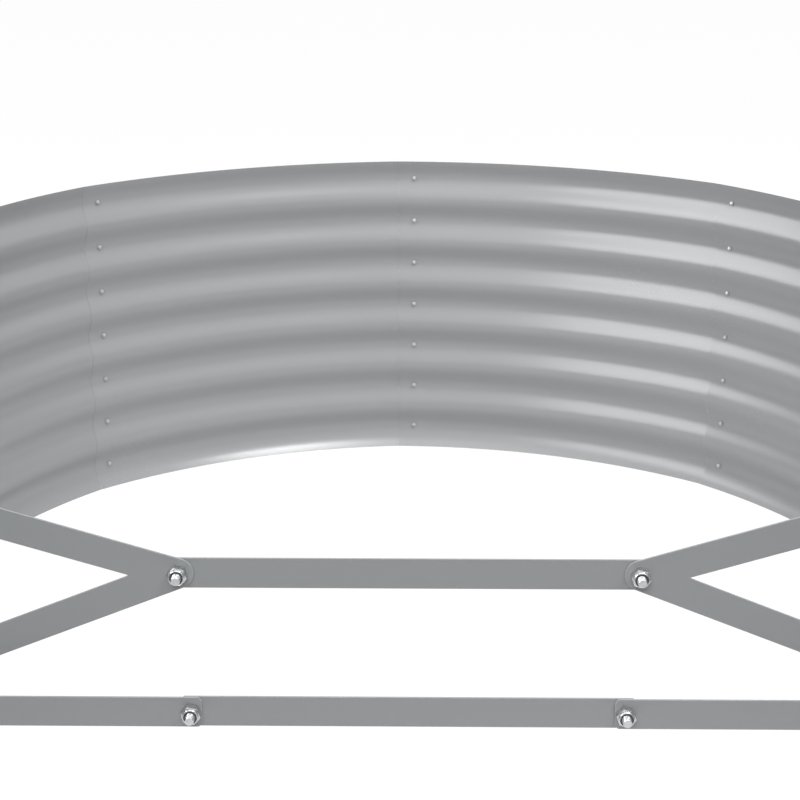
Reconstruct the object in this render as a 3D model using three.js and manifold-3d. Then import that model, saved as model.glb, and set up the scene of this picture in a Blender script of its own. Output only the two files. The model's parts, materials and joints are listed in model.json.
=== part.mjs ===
// An oval raised garden bed: twelve corrugated steel panels lapped and bolted into a ring that is open
// above and below, held across the middle by two bolted ties of flat steel strap.
// Millimetres, +Z up. The origin lies on the ground at the centre of the oval, whose long axis is Y.

import * as THREE from 'three';
import { mergeVertices } from 'three/addons/utils/BufferGeometryUtils.js';
import Module from 'manifold-3d';

const wasm = await Module();
wasm.setup();

// Wall: height, the waves rolled along every panel, and the sheet they are rolled from.
const WALL_HEIGHT = 680;
const ROW_COUNT = 7;
const ROW_PITCH = 98.8;
const FIRST_ROW_HEIGHT = 47;
const WAVE_DEPTH = 15;
const SHEET_THICKNESS = 0.9;

// Plan of the wall: two straight panels a side, and ends of four panels whose seams lie on a circle.
const STRAIGHT_PANEL_LENGTH = 745;
const SEAM_CIRCLE_RADIUS = 966;
const CURVED_PANEL_RADIUS = 1102;
const PANELS_PER_END = 4;

// Seams: how far each panel runs past its screws, and the gap left between lapped sheets.
const LAP_HALF_WIDTH = 36;
const LAP_GAP = 0.3;

// Seam screws and nuts.
const SCREW_DIAMETER = 5;
const SCREW_HEAD_DIAMETER = 10;
const SCREW_HEAD_HEIGHT = 2.8;
const SCREW_TIP_LENGTH = 2;
const SEAM_NUT_WIDTH = 8;
const SEAM_NUT_HEIGHT = 4;

// Tie straps, cut from flat bar. The upper tie has a forked plate at each end of its middle strap.
const STRAP_WIDTH = 44.5;
const STRAP_THICKNESS = 3;
const STRAP_END_LENGTH = 15;
const STRAP_CORNER = 5;
const FOLD_RADIUS = 6;
const UPPER_HUB_SPACING = 641;
const UPPER_HUB_HEIGHT = 427;
const LOWER_HUB_SPACING = 600;
const UPPER_ARM_ROW = 7;
const LOWER_ARM_ROW = 2;
const LOWER_TIE_ROW = 3;

// The ties stand nearer one end than the middle seams, and their folded tabs reach back to the seams.
const UPPER_TIE_SETBACK = 86;
const LOWER_TIE_SETBACK = 142;

// Hub bolts and their locking nuts.
const BOLT_DIAMETER = 13;
const BOLT_HEAD_HEIGHT = 10;
const BOLT_TIP_LENGTH = 11;
const BOLT_CHAMFER = 0.9;
const HUB_NUT_WIDTH = 24.6;
const HUB_NUT_HEIGHT = 12.5;
const COLLAR_DIAMETER = 22.4;
const COLLAR_HEIGHT = 4.5;
const HUB_NUT_TURN = THREE.MathUtils.degToRad(12);

// Clearances: between seated faces, and round a fastener in its hole.
const SEAT_GAP = 0.25;
const HOLE_CLEARANCE = 0.4;

// Facet counts.
const STEPS_PER_WAVE = 6;
const STEPS_PER_CURVED_PANEL = 3;
const STEPS_PER_STRAP_END = 5;
const STEPS_PER_FOLD = 5;
const HOLE_SIDES = 8;
const ROUND_SIDES = 16;
const HEX_SIDES = 6;

// Numerical steps: corners nearer than this merge, and a tab's lean is searched in these steps.
const WELD_DISTANCE = 1e-4;
const TAB_STATIONS = 24;
const LEAN_STEP = 0.01;
const LEAN_LIMIT = 0.4;

const finish = (name, color, roughness, metalness) => (
  new THREE.MeshStandardMaterial({ name, color, roughness, metalness })
);
const PANEL_PAINT = finish('panel_paint', 0x8f9192, 0.45, 0.35);
const STRAP_PAINT = finish('strap_paint', 0x8a8c8e, 0.45, 0.35);
const ZINC = finish('zinc', 0xb9bcbf, 0.3, 0.9);

// ---------------------------------------------------------------------------- solids and booleans

/** A geometry with only its positions left, and its shared corners merged. */
function weld(geometry) {
  const bare = geometry.clone();
  bare.deleteAttribute('normal');
  bare.deleteAttribute('uv');
  return mergeVertices(bare, WELD_DISTANCE);
}

/** A closed mesh as a manifold solid. */
function solid(geometry) {
  const merged = weld(geometry);
  return new wasm.Manifold(new wasm.Mesh({
    numProp: 3,
    vertProperties: new Float32Array(merged.attributes.position.array),
    triVerts: new Uint32Array(merged.index.array),
  }));
}

/** A manifold solid as a geometry. */
function geometryOf(body) {
  const mesh = body.getMesh();
  const geometry = new THREE.BufferGeometry();
  geometry.setAttribute('position', new THREE.BufferAttribute(new Float32Array(mesh.vertProperties), 3));
  geometry.setIndex(new THREE.BufferAttribute(new Uint32Array(mesh.triVerts), 1));
  geometry.computeVertexNormals();
  return geometry;
}

/** A closed skin over rings of points: every ring has as many points, and the end rings are capped. */
function skin(rings) {
  const count = rings[0].length;
  const index = [];
  for (let i = 0; i + 1 < rings.length; i += 1) {
    for (let j = 0; j < count; j += 1) {
      const a = i * count + j;
      const b = i * count + ((j + 1) % count);
      index.push(a, b, a + count, b, b + count, a + count);
    }
  }
  const geometry = new THREE.BufferGeometry();
  geometry.setAttribute('position', new THREE.Float32BufferAttribute(rings.flat(2), 3));
  const capped = [...index, ...endCaps(count, rings.length)];
  geometry.setIndex(capped);
  return facingOut(geometry);
}

/** Triangles for the two end rings, whose points run along one side and back along the other. */
function endCaps(count, ringCount) {
  const half = count / 2;
  const last = (ringCount - 1) * count;
  const caps = [];
  for (let j = 0; j + 1 < half; j += 1) {
    const [a, b, c, d] = [j, j + 1, count - 1 - j, count - 2 - j];
    caps.push(a, c, b, b, c, d);
    caps.push(last + a, last + b, last + c, last + b, last + d, last + c);
  }
  return caps;
}

/** The same geometry with its faces pointing out, whichever way it was wound. */
function facingOut(geometry) {
  const { array } = geometry.attributes.position;
  const index = geometry.index.array;
  const corner = (k) => new THREE.Vector3().fromArray(array, index[k] * 3);
  let volume = 0;
  for (let k = 0; k < index.length; k += 3) {
    volume += corner(k).dot(corner(k + 1).cross(corner(k + 2)));
  }
  if (volume < 0) {
    index.reverse();
  }
  return geometry;
}

/** A cylinder or prism along X or Y, between two places on that axis. */
function roundBar(axis, sides, radius, from, to, tipRadius = radius) {
  const geometry = new THREE.CylinderGeometry(tipRadius, radius, to - from, sides);
  geometry.translate(0, (to + from) / 2, 0);
  if (axis === 'x') {
    geometry.rotateZ(-Math.PI / 2);
  }
  return geometry;
}

/** The corner radius of a hexagon of this width across its flats. */
const hexRadius = (width) => width / Math.sqrt(3);

// ------------------------------------------------------------------------------------ wall panels

/** The height of a row of screws; the lowest is row 1. */
const rowHeight = (row) => FIRST_ROW_HEIGHT + (row - 1) * ROW_PITCH;

/** How far the rolled wave stands in from the valley line at a height. */
const wave = (height) => {
  const phase = (2 * Math.PI * (height - FIRST_ROW_HEIGHT)) / ROW_PITCH;
  return (WAVE_DEPTH / 2) * (1 - Math.cos(phase));
};

/** The faceted wave from the bottom edge to the top edge, as [height, inward offset] points. */
function waveProfile() {
  const step = ROW_PITCH / STEPS_PER_WAVE;
  const heights = [0];
  const first = Math.ceil((step / 4 - FIRST_ROW_HEIGHT) / step);
  for (let k = first; FIRST_ROW_HEIGHT + k * step < WALL_HEIGHT - step / 4; k += 1) {
    heights.push(FIRST_ROW_HEIGHT + k * step);
  }
  heights.push(WALL_HEIGHT);
  return heights.map((height) => [height, wave(height)]);
}

const PROFILE = waveProfile();

/** The faceted wave's greatest inward offset between two heights. */
function waveReach(low, high) {
  const at = (height) => {
    const k = Math.max(1, PROFILE.findIndex(([z]) => z >= height));
    const [[z0, d0], [z1, d1]] = [PROFILE[k - 1], PROFILE[k]];
    return d0 + ((d1 - d0) * (height - z0)) / (z1 - z0);
  };
  const inside = PROFILE.filter(([z]) => z > low && z < high).map(([, d]) => d);
  return Math.max(at(Math.max(low, 0)), at(Math.min(high, WALL_HEIGHT)), ...inside);
}

/** The seams, anticlockwise from the middle of the +X side, where the two side panels meet. */
function seamPoints() {
  const seams = [new THREE.Vector2(SEAM_CIRCLE_RADIUS, 0)];
  for (const end of [1, -1]) {
    const centre = new THREE.Vector2(0, end * STRAIGHT_PANEL_LENGTH);
    for (let k = 0; k <= PANELS_PER_END; k += 1) {
      const angle = ((end > 0 ? 0 : 1) + k / PANELS_PER_END) * Math.PI;
      const way = new THREE.Vector2(Math.cos(angle), Math.sin(angle));
      seams.push(way.multiplyScalar(SEAM_CIRCLE_RADIUS).add(centre));
    }
    if (end > 0) {
      seams.push(new THREE.Vector2(-SEAM_CIRCLE_RADIUS, 0));
    }
  }
  return seams;
}

const SEAMS = seamPoints();
const PANEL_COUNT = SEAMS.length;

/** True for the panels between two seams of an end circle. */
const isCurved = (panel) => {
  const place = panel % (PANEL_COUNT / 2);
  return place >= 1 && place <= PANELS_PER_END;
};

/** A panel's valley line in plan: its point and outward normal at a distance from its first seam. */
function panelLine(panel) {
  const start = SEAMS[panel % PANEL_COUNT];
  const end = SEAMS[(panel + 1) % PANEL_COUNT];
  const chord = end.clone().sub(start);
  const along = chord.clone().normalize();
  const out = new THREE.Vector2(along.y, -along.x);
  if (!isCurved(panel)) {
    const at = (distance) => ({ point: start.clone().addScaledVector(along, distance), normal: out.clone() });
    return { length: chord.length(), at };
  }
  const half = Math.asin(chord.length() / 2 / CURVED_PANEL_RADIUS);
  const middle = start.clone().add(end).multiplyScalar(0.5);
  const centre = middle.addScaledVector(out, -CURVED_PANEL_RADIUS * Math.cos(half));
  const at = (distance) => {
    const turn = distance / CURVED_PANEL_RADIUS - half;
    const normal = out.clone().rotateAround(new THREE.Vector2(), turn);
    return { point: centre.clone().addScaledVector(normal, CURVED_PANEL_RADIUS), normal };
  };
  return { length: 2 * half * CURVED_PANEL_RADIUS, at };
}

/**
 * The stations of one panel along its valley line, with how far its outer face stands in there.
 * Each panel lies outside its neighbour at its first seam and inside the next one at its second.
 */
function panelStations(panel) {
  const before = panelLine((panel + PANEL_COUNT - 1) % PANEL_COUNT);
  const own = panelLine(panel);
  const after = panelLine(panel + 1);
  const inset = SHEET_THICKNESS + LAP_GAP;
  const steps = isCurved(panel) ? STEPS_PER_CURVED_PANEL : 1;
  const run = own.length - 2 * LAP_HALF_WIDTH;
  const corner = (one, other) => {
    const normal = one.normal.clone().add(other.normal).normalize();
    return { point: other.point, normal: normal.divideScalar(normal.dot(one.normal)) };
  };
  const stations = [{ ...before.at(before.length - LAP_HALF_WIDTH), inset: 0 }];
  stations.push({ ...corner(before.at(before.length), own.at(0)), inset: 0 });
  for (let k = 0; k <= steps; k += 1) {
    stations.push({ ...own.at(LAP_HALF_WIDTH + (run * k) / steps), inset: (inset * k) / steps });
  }
  stations.push({ ...corner(own.at(own.length), after.at(0)), inset });
  stations.push({ ...after.at(LAP_HALF_WIDTH), inset });
  return stations;
}

/** A corrugated panel: the wave profile carried along its stations, with holes for seam screws. */
function panelGeometry(panel) {
  const rings = panelStations(panel).map(({ point, normal, inset }) => {
    const face = (depth) => PROFILE.map(([height, offset]) => {
      const spot = point.clone().addScaledVector(normal, -(inset + offset + depth));
      return [spot.x, spot.y, height];
    });
    return [...face(0), ...face(SHEET_THICKNESS).reverse()];
  });
  let body = solid(skin(rings));
  for (const seam of [SEAMS[panel], SEAMS[(panel + 1) % PANEL_COUNT]]) {
    if (seam.y === 0) {
      body = body.subtract(seamHoles(Math.sign(seam.x)));
    }
  }
  return geometryOf(body);
}

/** Every screw hole of one middle seam, as bars that cut through both sheets. */
function seamHoles(side) {
  const radius = SCREW_DIAMETER / 2 + HOLE_CLEARANCE;
  const reach = WAVE_DEPTH;
  const bars = [];
  for (let row = 1; row <= ROW_COUNT; row += 1) {
    const bar = roundBar('x', HOLE_SIDES, radius, SEAM_CIRCLE_RADIUS - reach, SEAM_CIRCLE_RADIUS + reach);
    bar.scale(side, 1, 1);
    bar.translate(0, 0, rowHeight(row));
    bars.push(solid(facingOut(bar)));
  }
  return wasm.Manifold.union(bars);
}

// ------------------------------------------------------------------------------------- tie straps

// At a middle seam, two lapped sheets lie between a screw's head and the inside of the wall.
const WALL_STACK = 2 * SHEET_THICKNESS + LAP_GAP;
const STRAP_RADIUS = STRAP_WIDTH / 2;

/** The upper edge of a strap with round ends that rises by slope over its length between holes. */
function roundEndTop(a, length, slope) {
  const lean = Math.hypot(1, slope);
  const shift = (STRAP_RADIUS * slope) / lean;
  if (a < -shift) {
    return Math.sqrt(Math.max(0, STRAP_RADIUS ** 2 - a ** 2));
  }
  if (a > length - shift) {
    return slope * length + Math.sqrt(Math.max(0, STRAP_RADIUS ** 2 - (a - length) ** 2));
  }
  return slope * a + STRAP_RADIUS * lean;
}

/** Half the height of a strap whose square ends have cut corners. */
function squareEndHalf(a, length) {
  const left = Math.min(a + STRAP_END_LENGTH, length + STRAP_END_LENGTH - a);
  return STRAP_RADIUS - Math.max(0, STRAP_CORNER - left);
}

/** Distances from a hole to the places where an end arc of a strap needs a point. */
function endArc(slope) {
  const shift = (STRAP_RADIUS * Math.abs(slope)) / Math.hypot(1, slope);
  const steps = [];
  for (let k = 0; k < STEPS_PER_STRAP_END; k += 1) {
    const angle = (Math.PI / 2) * ((k + 0.7) / (STEPS_PER_STRAP_END + 0.2));
    steps.push(STRAP_RADIUS * Math.cos(angle));
  }
  return [...steps, shift, 0];
}

/** Where a folded tab can lie: its outer face's offset at the screw, and its lean toward the wall. */
function tabSeat(height, slope, setback) {
  const half = STRAP_RADIUS * Math.hypot(1, slope);
  const needs = [];
  for (let k = 0; k <= TAB_STATIONS; k += 1) {
    const y = STRAP_RADIUS - ((setback + STRAP_RADIUS) * k) / TAB_STATIONS;
    const tall = y > 0 ? Math.sqrt(STRAP_RADIUS ** 2 - y ** 2) : half;
    const middle = height + slope * y;
    needs.push([y, waveReach(middle - tall, middle + tall)]);
  }
  let best = { offset: Infinity, lean: 0 };
  for (let lean = 0; lean < LEAN_LIMIT; lean += LEAN_STEP) {
    const offset = Math.max(...needs.map(([y, need]) => need + lean * y));
    if (offset < best.offset - 1e-6) {
      best = { offset, lean };
    }
  }
  return { offset: WALL_STACK + best.offset + SEAT_GAP, lean: best.lean };
}

/** Where each tab lies, by the row of the seam screw that holds it. */
const TAB_SEATS = new Map([
  [UPPER_ARM_ROW, UPPER_HUB_HEIGHT, UPPER_HUB_SPACING, UPPER_TIE_SETBACK],
  [LOWER_ARM_ROW, UPPER_HUB_HEIGHT, UPPER_HUB_SPACING, UPPER_TIE_SETBACK],
  [LOWER_TIE_ROW, rowHeight(LOWER_TIE_ROW), LOWER_HUB_SPACING, LOWER_TIE_SETBACK],
].map(([row, hubHeight, spacing, setback]) => {
  const run = SEAM_CIRCLE_RADIUS - WAVE_DEPTH - spacing / 2 + setback;
  return [row, tabSeat(rowHeight(row), (rowHeight(row) - hubHeight) / run, setback)];
}));

/**
 * The plan of one strap from its hub hole to its seam screw: straight across, then folded back along
 * the wall. It places a point by its distance along the strap and its depth through the strap.
 */
function foldedPath(side, hubX, setback, seat) {
  const angle = Math.PI / 2 - Math.atan(seat.lean);
  const screwX = SEAM_CIRCLE_RADIUS - seat.offset - (STRAP_THICKNESS / 2) * Math.hypot(1, seat.lean);
  const cornerX = screwX - seat.lean * setback;
  const tangent = FOLD_RADIUS * Math.tan(angle / 2);
  const foldStart = cornerX - hubX - tangent;
  const foldEnd = foldStart + FOLD_RADIUS * angle;
  const length = foldEnd + Math.hypot(screwX - cornerX, setback) - tangent;
  const place = (a, depth) => {
    const turned = THREE.MathUtils.clamp((a - foldStart) / FOLD_RADIUS, 0, angle);
    const before = Math.min(a, foldStart);
    const after = Math.max(a - foldEnd, 0);
    const x = hubX + before + (FOLD_RADIUS - depth) * Math.sin(turned) + after * Math.cos(turned);
    const y = -setback + FOLD_RADIUS - (FOLD_RADIUS - depth) * Math.cos(turned) + after * Math.sin(turned);
    return [side * x, y];
  };
  return { place, length, foldStart, foldEnd };
}

/** A strap as a closed skin: at each station along it, its two edges on its two faces. */
function strapSkin(stations, place) {
  const half = STRAP_THICKNESS / 2;
  const rings = stations.map(({ a, low, high }) => {
    const corner = (depth, height) => [...place(a, depth), height];
    return [corner(-half, low), corner(-half, high), corner(half, high), corner(half, low)];
  });
  return skin(rings);
}

/** A hole along X through a folded tab at a seam screw. */
function tabHole(side, height) {
  const reach = [SEAM_CIRCLE_RADIUS - 3 * WAVE_DEPTH, SEAM_CIRCLE_RADIUS];
  const bar = roundBar('x', HOLE_SIDES, SCREW_DIAMETER / 2 + HOLE_CLEARANCE, ...reach);
  bar.scale(side, 1, 1);
  bar.translate(0, 0, height);
  return solid(facingOut(bar));
}

/** A hole along Y through a tie at a hub bolt. */
function hubHole(x, height) {
  const from = -LOWER_TIE_SETBACK - 3 * STRAP_THICKNESS;
  const bar = roundBar('y', ROUND_SIDES, BOLT_DIAMETER / 2 + HOLE_CLEARANCE, from, 0);
  bar.translate(x, 0, height);
  return solid(bar);
}

/** Every place along a folded strap that needs a station. */
function foldStations(path, slope, first) {
  const places = [...first, path.foldStart];
  for (let k = 1; k <= STEPS_PER_FOLD; k += 1) {
    places.push(path.foldStart + ((path.foldEnd - path.foldStart) * k) / STEPS_PER_FOLD);
  }
  places.push(...endArc(slope).flatMap((arc) => [path.length - arc, path.length + arc]));
  const sorted = places.sort((p, q) => p - q);
  return sorted.filter((place, k) => k === 0 || place - sorted[k - 1] > 1e-3);
}

/** One arm of a forked plate, from its hub up or down to a row of seam screws. */
function forkArm(side, row) {
  const hubX = UPPER_HUB_SPACING / 2;
  const rise = rowHeight(row) - UPPER_HUB_HEIGHT;
  const path = foldedPath(side, hubX, UPPER_TIE_SETBACK, TAB_SEATS.get(row));
  const slope = rise / path.length;
  const hubArc = endArc(slope).flatMap((arc) => [-arc, arc]).filter((a) => Math.abs(a) < STRAP_RADIUS);
  const stations = foldStations(path, slope, hubArc).map((a) => ({
    a,
    low: UPPER_HUB_HEIGHT - roundEndTop(a, path.length, -slope),
    high: UPPER_HUB_HEIGHT + roundEndTop(a, path.length, slope),
  }));
  return solid(strapSkin(stations, path.place)).subtract(tabHole(side, rowHeight(row)));
}

/** A forked plate: two arms cut from one piece, round at the hub. */
function forkedPlate(side) {
  const arms = forkArm(side, UPPER_ARM_ROW).add(forkArm(side, LOWER_ARM_ROW));
  return geometryOf(arms.subtract(hubHole((side * UPPER_HUB_SPACING) / 2, UPPER_HUB_HEIGHT)));
}

/** An outer strap of the lower tie, from its hub level to its row of seam screws. */
function outerStrap(side) {
  const hubX = LOWER_HUB_SPACING / 2;
  const height = rowHeight(LOWER_TIE_ROW);
  const path = foldedPath(side, hubX, LOWER_TIE_SETBACK, TAB_SEATS.get(LOWER_TIE_ROW));
  const ends = [-STRAP_END_LENGTH, STRAP_CORNER - STRAP_END_LENGTH];
  const stations = foldStations(path, 0, ends).map((a) => {
    const half = a > path.foldStart ? roundEndTop(a, path.length, 0) : squareEndHalf(a, path.length);
    return { a, low: height - half, high: height + half };
  });
  const strap = solid(strapSkin(stations, path.place)).subtract(tabHole(side, height));
  return geometryOf(strap.subtract(hubHole(side * hubX, height)));
}

/** The middle strap of a tie, behind the pieces bolted to its two ends. */
function middleStrap(spacing, height, setback) {
  const depth = -setback + STRAP_THICKNESS + SEAT_GAP;
  const place = (a, through) => [a - spacing / 2, depth + through];
  const corner = [-STRAP_END_LENGTH, STRAP_CORNER - STRAP_END_LENGTH];
  const stations = [...corner, ...corner.map((a) => spacing - a).reverse()].map((a) => {
    const half = squareEndHalf(a, spacing);
    return { a, low: height - half, high: height + half };
  });
  let strap = solid(strapSkin(stations, place));
  for (const side of [-1, 1]) {
    strap = strap.subtract(hubHole((side * spacing) / 2, height));
  }
  return geometryOf(strap);
}

// ---------------------------------------------------------------------------------------- fasteners

// Along a hub bolt's axis, measured from the middle of the front strap toward the head and the tip.
const HUB_BACK = 1.5 * STRAP_THICKNESS + 2 * SEAT_GAP;
const HUB_FRONT = -STRAP_THICKNESS / 2 - SEAT_GAP;

/** A hub bolt with a hexagon head behind the straps and a chamfered tip in front of its nut. */
function hubBolt() {
  const radius = BOLT_DIAMETER / 2;
  const tip = HUB_FRONT - HUB_NUT_HEIGHT - COLLAR_HEIGHT - BOLT_TIP_LENGTH;
  const outline = [
    [0, HUB_BACK + BOLT_HEAD_HEIGHT / 2],
    [radius, HUB_BACK + BOLT_HEAD_HEIGHT / 2],
    [radius, tip + BOLT_CHAMFER],
    [radius - BOLT_CHAMFER, tip],
    [0, tip],
  ];
  const shank = new THREE.LatheGeometry(outline.map(([x, y]) => new THREE.Vector2(x, y)), ROUND_SIDES);
  const head = roundBar('y', HEX_SIDES, hexRadius(HUB_NUT_WIDTH), HUB_BACK, HUB_BACK + BOLT_HEAD_HEIGHT);
  return geometryOf(solid(facingOut(weld(shank))).add(solid(head)));
}

/** A hub bolt's locking nut: a hexagon with a round collar toward the bolt's tip. */
function hubNut() {
  const collarEnd = HUB_FRONT - HUB_NUT_HEIGHT - COLLAR_HEIGHT;
  const hexagon = roundBar('y', HEX_SIDES, hexRadius(HUB_NUT_WIDTH), HUB_FRONT - HUB_NUT_HEIGHT, HUB_FRONT);
  const collar = roundBar('y', ROUND_SIDES, COLLAR_DIAMETER / 2, collarEnd, HUB_FRONT - HUB_NUT_HEIGHT / 2);
  const bore = roundBar('y', ROUND_SIDES, BOLT_DIAMETER / 2 + SEAT_GAP, collarEnd - 1, HUB_FRONT + 1);
  return geometryOf(solid(hexagon).add(solid(collar)).subtract(solid(bore)));
}

/** How far inside the valley line a seam nut stands, on the bare wall or on a tab over it. */
function seamNutSeat(row) {
  const radius = hexRadius(SEAM_NUT_WIDTH);
  const tab = TAB_SEATS.get(row);
  if (!tab) {
    return WALL_STACK + waveReach(rowHeight(row) - radius, rowHeight(row) + radius) + SEAT_GAP;
  }
  return tab.offset + STRAP_THICKNESS * Math.hypot(1, tab.lean) + radius * tab.lean + SEAT_GAP;
}

/** A seam screw along X, with a low round head outside the wall. */
function seamScrew(row) {
  const under = SEAM_CIRCLE_RADIUS + SEAT_GAP;
  const tip = SEAM_CIRCLE_RADIUS - seamNutSeat(row) - SEAM_NUT_HEIGHT - SCREW_TIP_LENGTH;
  const shank = roundBar('x', HOLE_SIDES, SCREW_DIAMETER / 2, tip, under + SCREW_HEAD_HEIGHT / 2);
  const crown = SCREW_HEAD_DIAMETER / 2 - SCREW_HEAD_HEIGHT / 2;
  const head = roundBar('x', HOLE_SIDES, SCREW_HEAD_DIAMETER / 2, under, under + SCREW_HEAD_HEIGHT, crown);
  return geometryOf(solid(shank).add(solid(head)));
}

/** A seam nut along X, inside the wall. */
function seamNut(row) {
  const seat = SEAM_CIRCLE_RADIUS - seamNutSeat(row);
  const hexagon = roundBar('x', HEX_SIDES, hexRadius(SEAM_NUT_WIDTH), seat - SEAM_NUT_HEIGHT, seat);
  const bore = roundBar('x', HOLE_SIDES, SCREW_DIAMETER / 2 + SEAT_GAP, seat - SEAM_NUT_HEIGHT - 1, seat + 1);
  return geometryOf(solid(hexagon).subtract(solid(bore)));
}

// ----------------------------------------------------------------------------------------- assembly

const bed = new THREE.Group();

/** Adds one named piece to a group. */
function addPiece(group, name, geometry, material) {
  const mesh = new THREE.Mesh(geometry, material);
  mesh.name = name;
  group.add(mesh);
  return mesh;
}

/** The ring of wall panels, anticlockwise from the far half of the +X side. */
function addWall() {
  const wall = new THREE.Group();
  const half = PANEL_COUNT / 2;
  for (let panel = 0; panel < PANEL_COUNT; panel += 1) {
    const end = panel < half ? 'far' : 'near';
    const side = SEAMS[panel].x > 0 ? 'right' : 'left';
    const name = isCurved(panel) ? `${end}_end_panel_${panel % half}` : `side_panel_${side}_${end}`;
    addPiece(wall, name, panelGeometry(panel), PANEL_PAINT);
  }
  bed.add(wall);
}

/** Both ties, with their hub bolts and nuts. */
function addTies() {
  const ties = new THREE.Group();
  const sides = [['left', -1], ['right', 1]];
  const lowerHeight = rowHeight(LOWER_TIE_ROW);
  const upperStrap = middleStrap(UPPER_HUB_SPACING, UPPER_HUB_HEIGHT, UPPER_TIE_SETBACK);
  const lowerStrap = middleStrap(LOWER_HUB_SPACING, lowerHeight, LOWER_TIE_SETBACK);
  addPiece(ties, 'upper_middle_strap', upperStrap, STRAP_PAINT);
  addPiece(ties, 'lower_middle_strap', lowerStrap, STRAP_PAINT);
  for (const [word, side] of sides) {
    addPiece(ties, `forked_plate_${word}`, forkedPlate(side), STRAP_PAINT);
    addPiece(ties, `lower_outer_strap_${word}`, outerStrap(side), STRAP_PAINT);
    const hubs = [
      ['upper', UPPER_HUB_SPACING, UPPER_HUB_HEIGHT, UPPER_TIE_SETBACK],
      ['lower', LOWER_HUB_SPACING, lowerHeight, LOWER_TIE_SETBACK],
    ];
    for (const [level, spacing, height, setback] of hubs) {
      for (const [kind, geometry] of [['bolt', hubBolt()], ['nut', hubNut()]]) {
        const mesh = addPiece(ties, `${level}_hub_${kind}_${word}`, geometry, ZINC);
        mesh.position.set((side * spacing) / 2, -setback, height);
        mesh.rotation.y = HUB_NUT_TURN;
      }
    }
  }
  bed.add(ties);
}

/** The screws and nuts of the two middle seams, row by row from the ground. */
function addSeamFasteners() {
  const fasteners = new THREE.Group();
  for (const [word, turn] of [['right', 0], ['left', Math.PI]]) {
    for (let row = 1; row <= ROW_COUNT; row += 1) {
      for (const [kind, geometry] of [['screw', seamScrew(row)], ['nut', seamNut(row)]]) {
        const mesh = addPiece(fasteners, `seam_${kind}_${word}_${row}`, geometry, ZINC);
        mesh.position.z = rowHeight(row);
        mesh.rotation.z = turn;
      }
    }
  }
  bed.add(fasteners);
}

addWall();
addTies();
addSeamFasteners();

export default bed;
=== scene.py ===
"""An oval raised garden bed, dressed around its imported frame.

Twelve corrugated steel panels are lapped and screwed into a ring that is open above and below, and two
bolted ties of flat steel strap cross it. Metres, +Z up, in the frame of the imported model.
"""

import json
import logging
import math
from dataclasses import dataclass, field
from enum import Enum
from typing import Callable, Sequence

import bmesh
import bpy
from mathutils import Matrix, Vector

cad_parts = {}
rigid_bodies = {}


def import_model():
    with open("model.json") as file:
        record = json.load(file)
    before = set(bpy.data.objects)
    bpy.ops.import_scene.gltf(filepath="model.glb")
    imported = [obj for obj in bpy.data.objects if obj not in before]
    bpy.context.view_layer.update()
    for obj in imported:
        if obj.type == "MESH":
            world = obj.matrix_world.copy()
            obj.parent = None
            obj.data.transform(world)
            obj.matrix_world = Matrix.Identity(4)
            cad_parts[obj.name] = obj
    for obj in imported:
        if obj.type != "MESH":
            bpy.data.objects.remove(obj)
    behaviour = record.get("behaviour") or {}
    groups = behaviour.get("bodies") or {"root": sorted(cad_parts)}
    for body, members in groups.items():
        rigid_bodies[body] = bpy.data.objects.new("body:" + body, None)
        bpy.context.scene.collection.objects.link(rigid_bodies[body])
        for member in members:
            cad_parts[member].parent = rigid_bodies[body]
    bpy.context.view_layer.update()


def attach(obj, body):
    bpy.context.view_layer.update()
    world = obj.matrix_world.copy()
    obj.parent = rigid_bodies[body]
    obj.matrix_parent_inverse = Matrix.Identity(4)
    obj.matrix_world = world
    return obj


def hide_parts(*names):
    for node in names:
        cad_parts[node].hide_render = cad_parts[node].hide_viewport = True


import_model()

BODY = "root"
MILLIMETRE = 0.001
NEAR_ZERO = 1e-6
ROUND_SHARE = 0.99
FAR_RING = 2.0
TAU = 2 * math.pi
SOFT_ANGLE = math.radians(24)

log = logging.getLogger("raised_bed")

Colour = tuple[float, float, float, float]
Plan = tuple[float, float]
Range = tuple[float, float]
Ring = Callable[[float, float, float], tuple[float, float]]
Placing = Callable[[float, float, float], Vector]


class Side(Enum):
    """The two long sides of the bed, by their sign on X."""

    RIGHT = 1
    LEFT = -1

    @property
    def word(self) -> str:
        """The side's name in the names of pieces."""
        return self.name.lower()


class PaintSlot(Enum):
    """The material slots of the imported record."""

    PANEL = "panel_paint"
    STRAP = "strap_paint"
    ZINC = "zinc"


# ------------------------------------------------------------------------------- node trees


def arithmetic(operation: str, swapped: bool = False) -> Callable[["Socket", "Value"], "Socket"]:
    """Makes the method of Socket that stands for one operator.

    Args:
        operation: The Math node's operation.
        swapped: True where the socket stands second.

    Returns:
        The method.
    """

    def method(self: "Socket", other: "Value") -> "Socket":
        """The operator's result."""
        return self.graph.math(operation, *((other, self) if swapped else (self, other)))

    return method


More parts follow.
